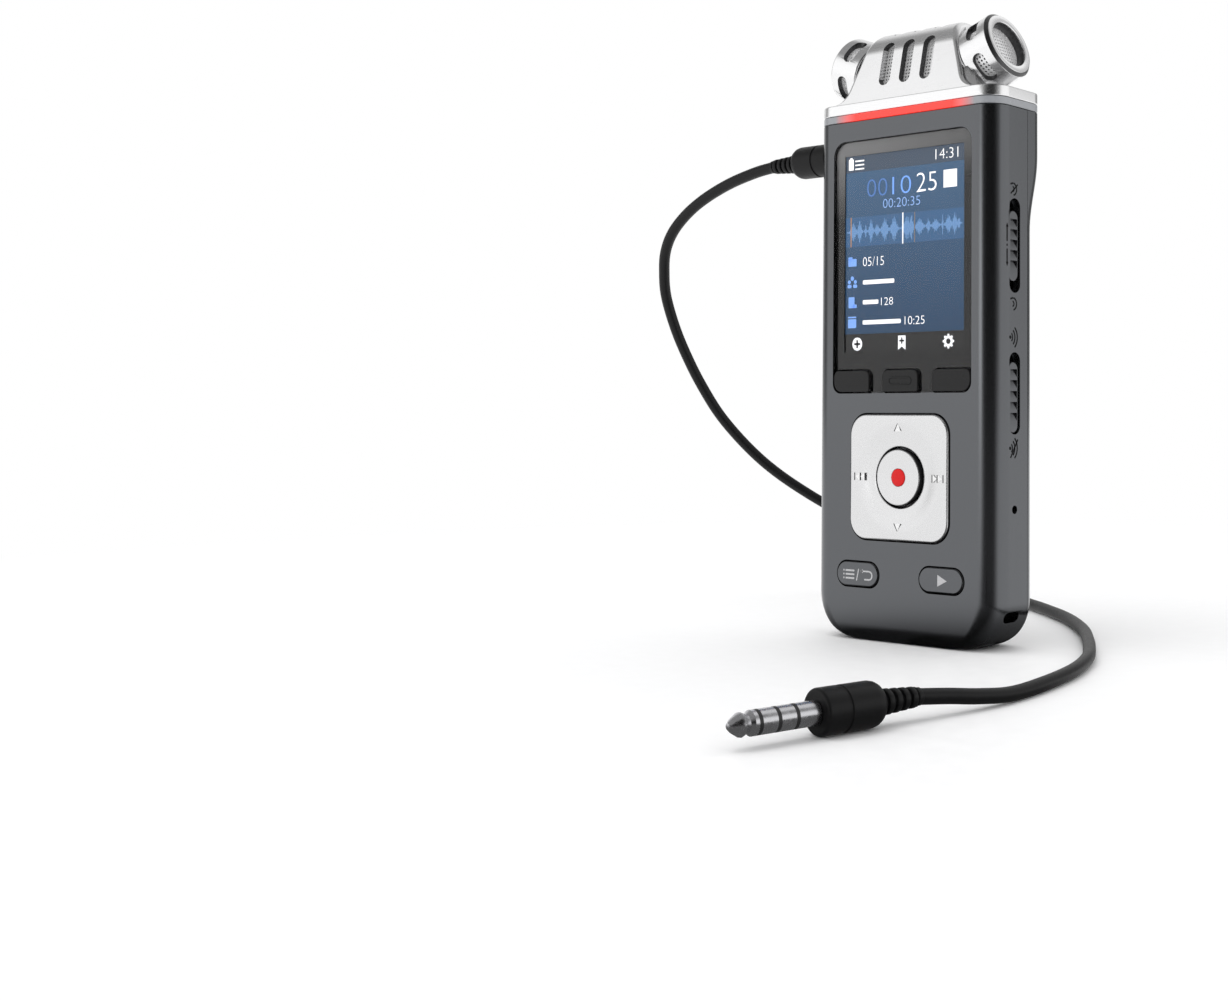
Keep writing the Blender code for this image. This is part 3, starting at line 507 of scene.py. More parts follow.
def walls(near, far, reach=30.0):
    """Test for faces square to the front, between two depths and within a distance of the middle."""
    return lambda x, depth, z, normal: abs(normal.y) < 0.3 and near < depth < far and abs(x) < reach


def joined(name, parts):
    """Several meshes as one object."""
    shape = bmesh.new()
    for part in parts:
        shape.from_mesh(part.data)
        bpy.data.objects.remove(part)
    return finished(name, shape)


# ------------------------------------------------------------------ lead and plugs

ROUTE = (
    (-41.0, 6.5, 96.7), (-46.7, 6.5, 96.0), (-54.8, 6.6, 94.3), (-62.9, 6.9, 91.7), (-69.4, 7.4, 88.7),
    (-74.8, 8.2, 85.1), (-78.6, 9.5, 81.2), (-81.0, 11.2, 76.9), (-82.9, 13.5, 71.3), (-83.6, 17.0, 64.0),
    (-83.3, 20.5, 57.3), (-82.4, 24.0, 51.0), (-80.6, 28.0, 44.2), (-78.0, 32.3, 38.2), (-75.2, 36.5, 33.2),
    (-72.5, 40.5, 29.3), (-69.6, 44.5, 25.9), (-66.2, 48.8, 22.5), (-61.0, 55.0, 18.0), (-54.0, 61.5, 12.6),
    (-46.0, 66.3, 7.4), (-37.5, 68.6, 3.4), (-29.0, 67.9, 1.5), (-19.5, 63.7, 1.3), (-10.6, 57.5, 1.25),
    (-3.0, 52.4, 1.25), (10.2, 42.4, 1.25), (21.9, 30.7, 1.25), (30.0, 20.4, 1.25), (36.4, 11.3, 1.25),
    (42.7, 1.3, 1.25), (48.0, -10.9, 1.25), (51.2, -23.5, 1.25), (52.6, -34.5, 1.3), (52.2, -42.0, 2.0),
    (51.0, -48.0, 2.8), (49.7, -53.6, 3.4),
)


def smooth_route(points, parts=8):
    knots = [Vector(p) for p in points]
    padded = [2 * knots[0] - knots[1], *knots, 2 * knots[-1] - knots[-2]]
    fine = []
    for before, start, end, after in zip(padded, padded[1:], padded[2:], padded[3:]):
        for i in range(parts):
            t = i / parts
            fine.append(0.5 * ((2 * start) + (end - before) * t
                               + (2 * before - 5 * start + 4 * end - after) * t * t
                               + (3 * start - before - 3 * end + after) * t ** 3))
    return [point(*spot) for spot in [*fine, knots[-1]]]


def make_plug(prefix, start, way):
    """Ribbed strain relief, moulded body, and metal pin with three black rings."""
    cord = CORD_DIAMETER / 2
    relief = [(cord + 0.05, -COLLAR), (cord + 0.12, 0.1 - COLLAR), (cord + 0.12, 0.0), (cord + 0.25, 0.15)]
    ribs, tip = 4, RELIEF_LENGTH - 0.35
    for rib in range(ribs):
        low = 0.5 + (tip - 0.5) * rib / ribs
        high = low + 0.62 * (tip - 0.5) / ribs
        outer = cord + 0.35 + 0.42 * rib / ribs
        relief += [(outer - 0.42, low), (outer - 0.05, low + 0.05), (outer, low + 0.15), (outer, high - 0.15),
                   (outer - 0.05, high - 0.05), (outer - 0.42, high)]
    relief += [(1.6, tip + 0.05), (1.6, RELIEF_LENGTH - SEAM)]
    made = dress(turned(f"{prefix}_relief_shape", relief, start, way, steps=48), "black_rubber",
                 nodes=(f"{prefix}_plug_relief",))
    low, high = RELIEF_LENGTH, RELIEF_LENGTH + PLUG_LENGTH
    nose = round_edge(PLUG_RADIUS, high, 0.5)
    body = [(2.1, low), (2.5, low + 0.12), (2.9, low + 0.55), (3.2, low + 1.1), (PLUG_RADIUS, low + 1.8),
            (PLUG_RADIUS, low + 6.4), (PLUG_RADIUS - 0.18, low + 6.5), (PLUG_RADIUS - 0.18, low + 6.9),
            (PLUG_RADIUS, low + 7.0), *nose]
    body = dress(turned(f"{prefix}_body_shape", body, start, way, steps=64), "black_rubber",
                 nodes=(f"{prefix}_plug_body",))
    foot, rings = high + SEAM, (3.6, 6.6, 9.6)
    pin = [(1.75, foot), (1.75, foot + 10.5), (1.3, foot + 11.0), (1.35, foot + 11.3), (1.68, foot + 12.0),
           (1.62, foot + 12.3), (0.9, foot + 13.4), (0.45, foot + 13.85), (0.1, foot + PIN_LENGTH - SEAM)]
    pin = dress(turned(f"{prefix}_pin_shape", fine_profile(pin), start, way, steps=48), "steel",
                nodes=(f"{prefix}_plug_pin",), second="black_plastic",
                where=lambda x, depth, z, normal: any(
                    abs((point(x, depth, z) - start).dot(way) / MM - foot - at) < 0.3 for at in rings))
    return made, body, pin


def fine_profile(profile, longest=0.6):
    """The same profile of (radius, height) with points no further apart than that."""
    fine = []
    for (r, h), (next_r, next_h) in zip(profile, profile[1:]):
        parts = max(1, math.ceil(math.hypot(next_r - r, next_h - h) / longest))
        fine += [(r + (next_r - r) * i / parts, h + (next_h - h) * i / parts) for i in range(parts)]
    return [*fine, profile[-1]]


def make_lead():
    curve = bpy.data.curves.new("lead", "CURVE")
    curve.dimensions = "3D"
    curve.bevel_depth = CORD_DIAMETER / 2 * MM
    curve.bevel_resolution = 6
    curve.use_fill_caps = True
    route = smooth_route(ROUTE)
    spline = curve.splines.new("POLY")
    spline.points.add(len(route) - 1)
    for place, spot in zip(spline.points, route):
        place.co = (*spot, 1.0)
    spline.use_smooth = True
    curve.materials.append(materials["black_rubber"])
    lead = linked("lead", curve)
    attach(lead, "casing")
    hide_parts("lead_cord")
    outward = Vector((-0.2, -0.98, 0)).normalized()
    near = make_plug("mic", point(-40.7, SOCKET_DEPTH, MIC_SOCKET_Z), Vector((1, 0, 0)))
    far = make_plug("far", point(*ROUTE[-1]) + outward * 0.3 * MM, outward)
    length = sum((b - a).length for a, b in zip(route, route[1:]))
    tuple(route[0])


# ------------------------------------------------------------------ housings

CAVITY_CHAMFER = 8.5
STRAP_CENTRE = (22.6, 1.4)
STRAP_RADII = (3.9, 5.9)
STRAP_DEPTH = (3.6, 8.1)
STRAP_ARC = (70.0, 140.0)  # start and sweep of the tunnel in degrees
BOSS_FOOT = 1.4          # depth at which the front bosses join the front wall
BOSS_RADIUS = 2.2
PILOT_RADIUS = 1.1
SEAT_RADIUS = 2.0
SEAT_SUNK = 1.3          # depth of the screw seats below the rear surface
GRILLE_CENTRE = (3.0, 76.0)
GRILLE_ROWS = (5, 2.6, 1.2)  # how many, spacing, height of one
GRILLE_HALF = 7.5


def side_dip(size, round_size, height):
    if height >= round_size:
        return 0.0
    return size * (1 - math.sqrt(1 - ((round_size - height) / round_size) ** 2))


def half_width(z, inset=0.0):
    return HALF_WIDTH - side_dip(FOOT_RADIUS, FOOT_RADIUS, z) - inset


def back_depth(z):
    share = min(max((z - HUMP[0]) / (HUMP[1] - HUMP[0]), 0.0), 1.0)
    return DEPTH_MAIN + (DEPTH_TOP - DEPTH_MAIN) * (0.5 - 0.5 * math.cos(math.pi * share))


def plan(z, inset=0.0, steps=16):
    half = half_width(z, inset)
    dip = side_dip(*FOOT_ROUND, z) + inset
    front = max(FRONT_CORNER - inset, 0.8)
    rear = max(REAR_CORNER - inset, 0.8)
    return rounded(-half, half, dip, back_depth(z) - dip, (front, front, rear, rear), steps)


def plan_ring(z, level, inset=0.0):
    return [point(x, depth, level) for x, depth in plan(z, inset)]


def outer_shell(name):
    heights = [FOOT_RADIUS * (1 - math.cos(math.radians(angle))) for angle in range(0, 91, 5)]
    heights += [HUMP[0] + (HUMP[1] - HUMP[0]) * i / 14 for i in range(15)] + [HOUSING_TOP - 0.12]
    rings = [plan_ring(z, z) for z in heights]
    rings.append(plan_ring(HOUSING_TOP, HOUSING_TOP, 0.12))
    return solid(name, rings)


def inner_space():
    widest = half_width(HOUSING_TOP, WALL)
    levels = [(WALL, widest - CAVITY_CHAMFER), (WALL + CAVITY_CHAMFER, widest)]
    levels += [(HUMP[0] + (HUMP[1] - HUMP[0]) * i / 4, widest) for i in range(5)]
    levels.append((HOUSING_TOP - WALL, widest))
    return solid("space_inside", [[point(x, depth, z) for x, depth in rounded(
        -half, half, WALL, back_depth(z) - WALL, (3.0, 3.0, 1.2, 1.2), 3)] for z, half in levels])


def side_slot(name, low, high):
    half = SLOT_WIDTH / 2
    return along_x(name, rounded(SLOT_DEPTH - half, SLOT_DEPTH + half, low, high, half - 0.01, 10),
                   (HALF_WIDTH - WALL - 1, HALF_WIDTH + 1))


def strap_tunnel():
    """An arched passage from the side face round to the underside of the right corner."""
    section = rounded(*STRAP_RADII, *STRAP_DEPTH, 0.95, 6)
    rings = []
    middle_x, middle_z = STRAP_CENTRE
    for i in range(25):
        a = math.radians(STRAP_ARC[0] + STRAP_ARC[1] * i / 24)
        rings.append([point(middle_x + reach * math.cos(a), depth, middle_z + reach * math.sin(a))
                      for reach, depth in section])
    return solid("strap_tunnel", rings)


def function_key_outline(which, shrink=0.0):
    half_window, bottom, _ = WINDOW
    edges = {"left": (-half_window, -7.7), "middle": (-4.75, 4.75), "right": (7.7, half_window)}[which]
    feet = (2.0, 0.5) if which == "left" else (0.5, 2.0) if which == "right" else (0.5, 0.5)
    return rounded(edges[0] + shrink, edges[1] - shrink, bottom + shrink, FUNCTION_TOP - shrink,
                   (*feet, 1.2, 1.2), 8)


def low_key_outline(side, shrink=0.0):
    inner, outer, bottom, top = LOW_KEY
    low, high = sorted((side * inner, side * outer))
    return rounded(low + shrink, high - shrink, bottom + shrink, top - shrink,
                   (top - bottom) / 2 - shrink - 0.01, 12)


def boss(number, x, z, start, length, radius=BOSS_RADIUS):
    profile = [(radius, 0), (radius, length)]
    return turned(f"boss_{number}", profile, point(x, start, z), (0, 1, 0), steps=24)


def make_front_housing():
    half_window, window_bottom, window_top = WINDOW
    half_display, display_bottom, display_top = DISPLAY_OPENING
    screws = list(enumerate(SCREWS))
    front = cut(outer_shell("front_shell"), inner_space())
    add(front, *(boss(number, x, z, BOSS_FOOT, PARTING - 2.1) for number, (x, z) in screws))
    tools = [block("behind_parting", (-40, 40), (PARTING - SEAM / 2, 30), (-10, 120))]
    tools += [boss(number, x, z, 4.2, 9, PILOT_RADIUS) for number, (x, z) in screws]
    window = rounded(-half_window, half_window, window_bottom, window_top, WINDOW_RADII, 10)
    display = rounded(-half_display, half_display, display_bottom, display_top, 1.0, 6)
    tools += [along_y("window_recess", window, (-1, WINDOW_DEPTH)),
              along_y("display_opening", display, (-0.5, 3))]
    tools += [along_y(f"{which}_opening", function_key_outline(which), (-0.6, 3))
              for which in ("left", "middle", "right")]
    nav = rounded(-NAV_HALF, NAV_HALF, NAV_CENTRE - NAV_HALF + NAV_TRIM, NAV_CENTRE + NAV_HALF - NAV_TRIM,
                  NAV_RADIUS, 12)
    tools.append(along_y("nav_opening", nav, (-1, 3)))
    tools += [along_y(f"low_opening_{side}", low_key_outline(side), (-1, 3)) for side in (-1, 1)]
    tools += [side_slot("hold_way", *HOLD_SLOT), side_slot("wireless_way", *WIRELESS_SLOT)]
    holes = [(HALF_WIDTH - 3, SLOT_DEPTH, *PINHOLE, 24)]
    holes += [(-HALF_WIDTH - 1, SOCKET_DEPTH, z, SOCKET_HOLE, 40) for z in (MIC_SOCKET_Z, PHONES_SOCKET_Z)]
    tools += [turned(f"hole_{z}", [(radius, 0), (radius, 4)], point(x, depth, z), (1, 0, 0), steps=steps)
              for x, depth, z, radius, steps in holes]
    tools += [block("card_slot", (-25, -20), *CARD_SLOT), along_z_opening("usb_opening", *USB_OPENING),
              strap_tunnel()]
    cut(front, *tools)
    # The walls of the openings get black_plastic as painted shade in the gaps round the window, the display,
    # the keys and the pad.
    dress(soften(front, 0.09), "graphite_shell", nodes=("front_housing",), second="black_plastic",
          where=walls(0.16, 3.0, 20.0))


def along_z_opening(name, low_x, high_x, near, far):
    """A round-ended opening through the foot."""
    outline = rounded(low_x, high_x, near, far, (far - near) / 2 - 0.01, 8)
    return solid(name, [[point(x, depth, z) for x, depth in outline] for z in (-1, 3)])


def make_rear_housing():
    screws = list(enumerate(SCREWS))
    rear = cut(outer_shell("rear_shell"), inner_space())
    add(rear, *(boss(number, x, z, PARTING, back_depth(z) - PARTING - 0.8) for number, (x, z) in screws))
    tools = [block("before_parting", (-40, 40), (-30, PARTING + SEAM / 2), (-10, 120))]
    for number, (x, z) in screws:
        tools += [boss(f"{number}_way", x, z, PARTING - 1, 9, PILOT_RADIUS),
                  boss(f"{number}_seat", x, z, back_depth(z) - SEAT_SUNK, 4, SEAT_RADIUS)]
    rows, spacing, height = GRILLE_ROWS
    middle_x, middle_z = GRILLE_CENTRE
    for row in range(rows):
        from_middle = row - rows // 2
        z, half = middle_z + spacing * from_middle, GRILLE_HALF - 0.9 * abs(from_middle)
        tools.append(block(f"grille_{row}", (middle_x - half, middle_x + half), (9, 20),
                           (z - height / 2, z + height / 2), radius=height / 2 - 0.01))
    cut(rear, *tools)
    dress(soften(rear, 0.09), "graphite_shell", nodes=("rear_housing",))


def make_light_ring():
    low, high = HOUSING_TOP + SEAM, SHOULDER_BOTTOM - SEAM
    rings = [plan_ring(HOUSING_TOP, level, inset) for level, inset in (
        (low, 0.12), (low + 0.12, 0.0), (high - 0.12, 0.0), (high, 0.12), (high, 2.6), (low, 2.6))]
    dress(solid("light_band", rings, closed=True), "smoke_ring", nodes=("light_ring",))


# ------------------------------------------------------------------ head and barrels

FLARE = 2.6              # radius of the fillet from the head's ends into the shoulder
END_ROUND = 1.0          # rounding of the head's end edges
BARREL_LIP = 1.9         # depth of the perforated disc in a barrel's mouth
BARREL_SLOT = (27.0, -3.85, 1.34)        # half the angle that it spans, height from the rim, half width
BARREL_SLOT_TURNS = (40, 140, 220, 320)  # degrees round the barrel from its front


def head_section(inset=0.0, foot=SHOULDER_TOP - 0.6, steps=28):
    """(depth, z) outline of the head: two leaning sides, joined by the round top that touches both."""
    front, rear = 0.15, DEPTH_TOP - 0.1
    slope_front, slope_rear = math.tan(HEAD_LEAN_FRONT), math.tan(HEAD_LEAN_REAR)
    per_front, per_rear = 1 / math.cos(HEAD_LEAN_FRONT), 1 / math.cos(HEAD_LEAN_REAR)
    rise = HEAD_TOP - SHOULDER_TOP
    height = ((rear - front - rise * (per_front + per_rear))
              / (slope_front + slope_rear - per_front - per_rear))
    radius = rise - height
    centre = (front + height * slope_front + radius * per_front, SHOULDER_TOP + height)
    turns = [math.pi - HEAD_LEAN_FRONT + (HEAD_LEAN_REAR + HEAD_LEAN_FRONT - math.pi) * i / steps
             for i in range(steps + 1)]
    top = arc(*centre, radius - inset, turns)

    def side_point(z, rear_side):
        if rear_side:
            return (rear - (z - SHOULDER_TOP) * slope_rear - inset * per_rear, z)
        return (front + (z - SHOULDER_TOP) * slope_front + inset * per_front, z)

    heights = [foot, *(SHOULDER_TOP + FLARE * (1 - math.cos(a)) for a in radians(8, 25, 40, 55, 72, 90))]
    return [side_point(z, False) for z in heights] + top + [side_point(z, True) for z in reversed(heights)]


def end_x(z, inset=0.0):
    """x of the head's right end plane, square to the barrel's axis, with its fillet into the shoulder."""
    root_x = BARREL_RIM[0] - BARREL_LENGTH * math.cos(BARREL_TILT) - SEAM - inset
    root_z = BARREL_RIM[2] - BARREL_LENGTH * math.sin(BARREL_TILT)
    above = max(z - SHOULDER_TOP, 0.0)
    flare = FLARE - math.sqrt(FLARE ** 2 - (FLARE - above) ** 2) if above < FLARE else 0.0
    return root_x - (z - root_z) * math.tan(BARREL_TILT) + flare


def make_head():
    levels = [(SHOULDER_BOTTOM, 0.12), (SHOULDER_BOTTOM + 0.12, 0.0), (SHOULDER_TOP - 0.35, 0.0),
              (SHOULDER_TOP - 0.1, 0.1), (SHOULDER_TOP, 0.35)]
    head = solid("head_shape", [plan_ring(HOUSING_TOP, z, inset) for z, inset in levels])
    rings = []
    for side in (-1, 1):
        ends = [(END_ROUND * (1 - math.sin(a)), END_ROUND * (1 - math.cos(a)))
                for a in radians(0, 22.5, 45, 67.5, 90)]
        made = [[point(side * end_x(z, back), depth, z) for depth, z in head_section(inset)]
                for inset, back in ends]
        rings += made if side < 0 else made[::-1]
    add(head, solid("head_dome", rings))
    space = [[point(side * end_x(max(z, SHOULDER_TOP + FLARE), HEAD_WALL), depth, z)
              for depth, z in head_section(HEAD_WALL, SHOULDER_BOTTOM - 1)] for side in (-1, 1)]
    tools = [solid("head_space", space)]
    width, slot_low, slot_high = HEAD_SLOT
    corner = width / 2 - 0.015
    for number in (-1, 0, 1):
        x = number * HEAD_SLOT_PITCH
        edges = (x - width / 2, x + width / 2)
        ridge = rounded(*edges, *RIDGE_SLOT, corner)
        tools += [block(f"head_slot_{number}", edges, (-2, 20), (slot_low, slot_high), radius=corner),
                  solid(f"ridge_slot_{number}", [[point(u, depth, z) for u, depth in ridge]
                                                 for z in (slot_high, HEAD_TOP + 1.2)])]
    for name, side in (("left", -1), ("right", 1)):
        axis = Vector((side * math.cos(BARREL_TILT), 0, math.sin(BARREL_TILT)))
        rim = point(side * BARREL_RIM[0], *BARREL_RIM[1:])
        tools.append(turned(f"lead_way_{name}", [(3.6, -11.5), (3.6, -6.8)], rim, axis, steps=40))
        make_barrel(name, rim, axis)
    cut(head, *tools)

    # Faces inside the head and the walls of its slots get dark_metal as painted shade.
    def inner(x, depth, z, normal):
        facing_in = normal.y > 0.3 if depth < BARREL_RIM[1] else normal.y < -0.3
        in_slot = (z < slot_high + 0.05 and abs(x) < HEAD_SLOT_PITCH + width / 2
                   and abs(normal.y) < 0.75 and abs(normal.z) < 0.999)
        return z > SHOULDER_TOP + 1 and abs(x) < 15 and (facing_in or in_slot or normal.z < -0.3)

    dress(soften(head, 0.2, angle=42), "satin_silver", nodes=("mic_head",), smooth=50,
          second="dark_metal", where=inner)


def make_barrel(side, rim, axis):
    length, radius, bore, mouth = BARREL_LENGTH, BARREL_RADIUS, BARREL_BORE, BARREL_MOUTH
    root = round_edge(radius, -length, 0.35, -1)[::-1]
    wall = [(bore, -length), *root, (radius, -0.75), (radius - 0.04, -0.66), (radius - 0.61, -0.04),
            (radius - 0.7, 0), (mouth + 0.2, 0), (mouth + 0.05, -0.08), (mouth, -0.3), (mouth - 0.15, -1.0),
            (mouth - 0.2, -BARREL_LIP), (bore, -BARREL_LIP)]
    barrel = turned(f"barrel_{side}", wall, rim, axis, closed=True, steps=96)
    turn = Vector((0, 0, 1)).rotation_difference(axis).to_matrix()

    def local(x, y, height):
        """A point of the barrel's own axes, with its height measured from the rim."""
        return rim + turn @ (Vector((x, y, height)) * MM)

    half_turn, slot_height, end = BARREL_SLOT
    per_mm = math.degrees(1 / radius)
    outline = [((half_turn - end * per_mm) * way + end * per_mm * math.cos(a),
                slot_height + end * math.sin(a))
               for way, start in ((1, -90), (-1, 90)) for a in radians(*range(start, start + 181, 15))]
    fine = []
    for (u, v), (next_u, next_v) in zip(outline, outline[1:] + outline[:1]):
        parts = max(1, round(abs(next_u - u) / 5))
        fine += [(u + (next_u - u) * i / parts, v + (next_v - v) * i / parts) for i in range(parts)]
    slots = []
    for middle in BARREL_SLOT_TURNS:
        ways = [(math.radians(middle + u), v) for u, v in fine]
        slots.append(solid(f"barrel_slot_{middle}", [[local(far * math.sin(a), -far * math.cos(a), v)
                                                      for a, v in ways] for far in (8.0, 5.0)]))
    cut(barrel, *slots)

    # Faces inside the barrel and the walls of its slots get dark_metal as painted shade.
    def inner(x, depth, z, normal):
        spot = turn.transposed() @ (point(x, depth, z) - rim) / MM
        return math.hypot(spot.x, spot.y) < radius - 0.3 and spot.z < -0.3

    dress(soften(barrel, 0.16, angle=60), "satin_silver", nodes=(f"mic_barrel_{side}",), smooth=32,
          second="dark_metal", where=inner)

    skin = bore - 0.2
    sheets = [perforated(lambda u, v: local(u, v, -BARREL_LIP - 0.2), (-4.9, 4.9), (-4.9, 4.9), 14, 14,
                         lambda u, v: math.hypot(u, v) < 5.25),
              perforated(lambda u, v: local(skin * math.sin(u), skin * math.cos(u), v),
                         (-math.pi, math.pi), (-5.9, -2.2), 46, 5)]
    dress(settled_sheet(f"perforated_{side}", sheets), "woven_mesh", nodes=(f"barrel_mesh_{side}",),
          smooth=40)


def perforated(place, us, vs, columns, rows, inside=None, open_share=0.62):
    """Faces of a sheet with a square grid of round holes. place gives the point at (u, v)."""
    corners = [(0, 0), (0.5, 0), (1, 0), (1, 0.5), (1, 1), (0.5, 1), (0, 1), (0, 0.5)]
    hole = arc(0.5, 0.5, open_share / 2, radians(*range(225, 585, 45)))
    shape = bmesh.new()
    step_u, step_v = (us[1] - us[0]) / columns, (vs[1] - vs[0]) / rows
    for column in range(columns):
        for row in range(rows):
            u, v = us[0] + column * step_u, vs[0] + row * step_v
            if inside and not inside(u + step_u / 2, v + step_v / 2):
                continue
            outer, inner = ([shape.verts.new(place(u + a * step_u, v + b * step_v)) for a, b in ring]
                            for ring in (corners, hole))
            for i in range(8):
                j = (i + 1) % 8
                shape.faces.new((outer[i], outer[j], inner[j], inner[i]))
    bmesh.ops.remove_doubles(shape, verts=shape.verts, dist=1e-6)
    return finished("sheet", shape)


def settled_sheet(name, sheets, thickness=0.16):
    made = joined(name, sheets)
    thick = made.modifiers.new("thick", "SOLIDIFY")
    thick.thickness = thickness * MM
    thick.offset = 0.0
    return settle(made)


def make_head_mesh():
    """Perforated sheet bent to the inside of the head, behind its slots."""
    section = [Vector((depth, z)) for depth, z in head_section(HEAD_WALL + 0.35, SHOULDER_TOP + 0.8, 40)]
    section = [spot for spot in section if spot.y > SHOULDER_TOP + 0.9]
    lengths = [0.0]
    for a, b in zip(section, section[1:]):
        lengths.append(lengths[-1] + (b - a).length)

    def place(u, v):
        for (a, b), (start, end) in zip(zip(section, section[1:]), zip(lengths, lengths[1:])):
            if v <= end or end == lengths[-1]:
                spot = a.lerp(b, (v - start) / (end - start))
                return point(u, spot.x, spot.y)

    rows = round(lengths[-1] / 0.72)
    sheet = settled_sheet("head_sheet", [perforated(place, (-8.6, 8.6), (0.0, lengths[-1]), 24, rows)])
    dress(sheet, "woven_mesh", nodes=("head_mesh",), smooth=40)


# ------------------------------------------------------------------ display

PLANE = 1.0              # depth of the lit layer
BAR_TOP = 60.0           # heights on the display
HEAD_BOTTOM = 92.3
WAVE_BAND = (77.4, 83.3)


def make_window():
    half, bottom, top = WINDOW[0] - SEAM, WINDOW[1] + SEAM, WINDOW[2] - SEAM

    def outline(shrink):
        return rounded(-half + shrink, half - shrink, bottom + shrink, top - shrink,
                       tuple(radius - shrink for radius in WINDOW_RADII), 10)

    def notches():
        """Cutters for the function keys, carried out through the window's lower edge."""
        for name in ("left", "middle", "right"):
            notch = [(x * 1.012, z if z > bottom + 1 else z - 1) for x, z in function_key_outline(name)]
            yield along_y(f"{name}_notch", notch, (-0.4, 2))

    glass = cut(cushioned("window_pane", outline, 0.0, 0.7, 0.12), *notches())
    dress(glass, "window_glass", nodes=("display_window",))
    mask = along_y("window_print_and_painted_glare", outline(0.02), (0.74, 0.84))
    half_lit, low_lit, high_lit = ACTIVE
    cut(mask, block("lit_opening", (-half_lit, half_lit), (0, 3), (low_lit, high_lit), radius=0.1),
        *notches())
    dress(mask, "display_panel", material="window_mask")


def filled(name, outlines, outward):
    """One thin sheet of filled outlines that faces outward."""
    shape = bmesh.new()
    for outline in outlines:
        face = shape.faces.new([shape.verts.new(corner) for corner in outline])
        face.normal_update()
        if face.normal.dot(outward) < 0:
            face.normal_flip()
    bmesh.ops.triangulate(shape, faces=shape.faces)
    return finished(name, shape)


def flat(shapes, depth, name="flat"):
    """Filled (x, z) outlines, facing the front."""
    return filled(name, [[point(x, depth, z) for x, z in outline] for outline in shapes], Vector((0, -1, 0)))


def stick(mark, material, body="casing"):
    """A printed or lit mark that moves with a body and stands for no CAD node."""
    mark.data.materials.append(materials[material])
    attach(mark, body)


def box_mark(low_x, high_x, low_z, high_z, radius=0.0):
    return rounded(low_x, high_x, low_z, high_z, radius, 4)


def digits(text, low_x, high_x, low_z, high_z, depth):
    """Plain numerals filled to fit a box on the display."""
    words = bpy.data.curves.new("digits", "FONT")
    words.body = text
    words.resolution_u = 4
    words.offset = -0.014
    source = linked("digits", words)
    mesh = evaluated(source)
    bpy.data.objects.remove(source)
    us, vs = [v.co.x for v in mesh.vertices], [v.co.y for v in mesh.vertices]
    for v in mesh.vertices:
        across = (v.co.x - min(us)) / (max(us) - min(us))
        up = (v.co.y - min(vs)) / (max(vs) - min(vs))
        v.co = point(low_x + (high_x - low_x) * across, depth, low_z + (high_z - low_z) * up)
    return linked("digits", mesh)


def icon_plus(x, z, size):
    return [box_mark(x - size, x + size, z - size * 0.28, z + size * 0.28),
            box_mark(x - size * 0.28, x + size * 0.28, z - size, z + size)]


def icon_gear(x, z, radius):
    outline = []
    for tooth in range(8):
        for share, far in ((-0.3, 0.76), (-0.18, 1.0), (0.18, 1.0), (0.3, 0.76)):
            a = 2 * math.pi * (tooth + share) / 8
            outline.append((x + radius * far * math.cos(a), z + radius * far * math.sin(a)))
    return outline


def wave_shapes():
    """A sound wave, the same above and below its middle line, in bursts of (place, width, height)."""
    bursts = ((-13.2, 0.7, 1.9), (-11.5, 0.5, 2.4), (-9.9, 0.25, 1.3), (-8.5, 0.5, 2.4), (-6.9, 0.55, 1.2),
              (-4.9, 0.75, 2.3), (-2.5, 0.75, 2.5), (0.8, 0.8, 2.4), (1.9, 0.5, 2.6), (4.0, 0.85, 1.6),
              (6.2, 0.4, 1.4), (8.0, 0.75, 1.2), (9.7, 0.15, 2.2), (11.2, 0.65, 1.8), (12.7, 0.5, 2.1),
              (13.7, 0.3, 1.2))
    shapes, spacing, middle = [], 0.15, sum(WAVE_BAND) / 2
    for i in range(round(29.6 / spacing)):
        x = -14.9 + spacing * i
        height = 0.13 + max(size * math.exp(-((x - at) / width) ** 2) for at, width, size in bursts)
        height *= 0.78 + 0.22 * math.sin(i * 2.3)
        shapes.append(box_mark(x, x + spacing * 0.93, middle - height, middle + height))
    return shapes


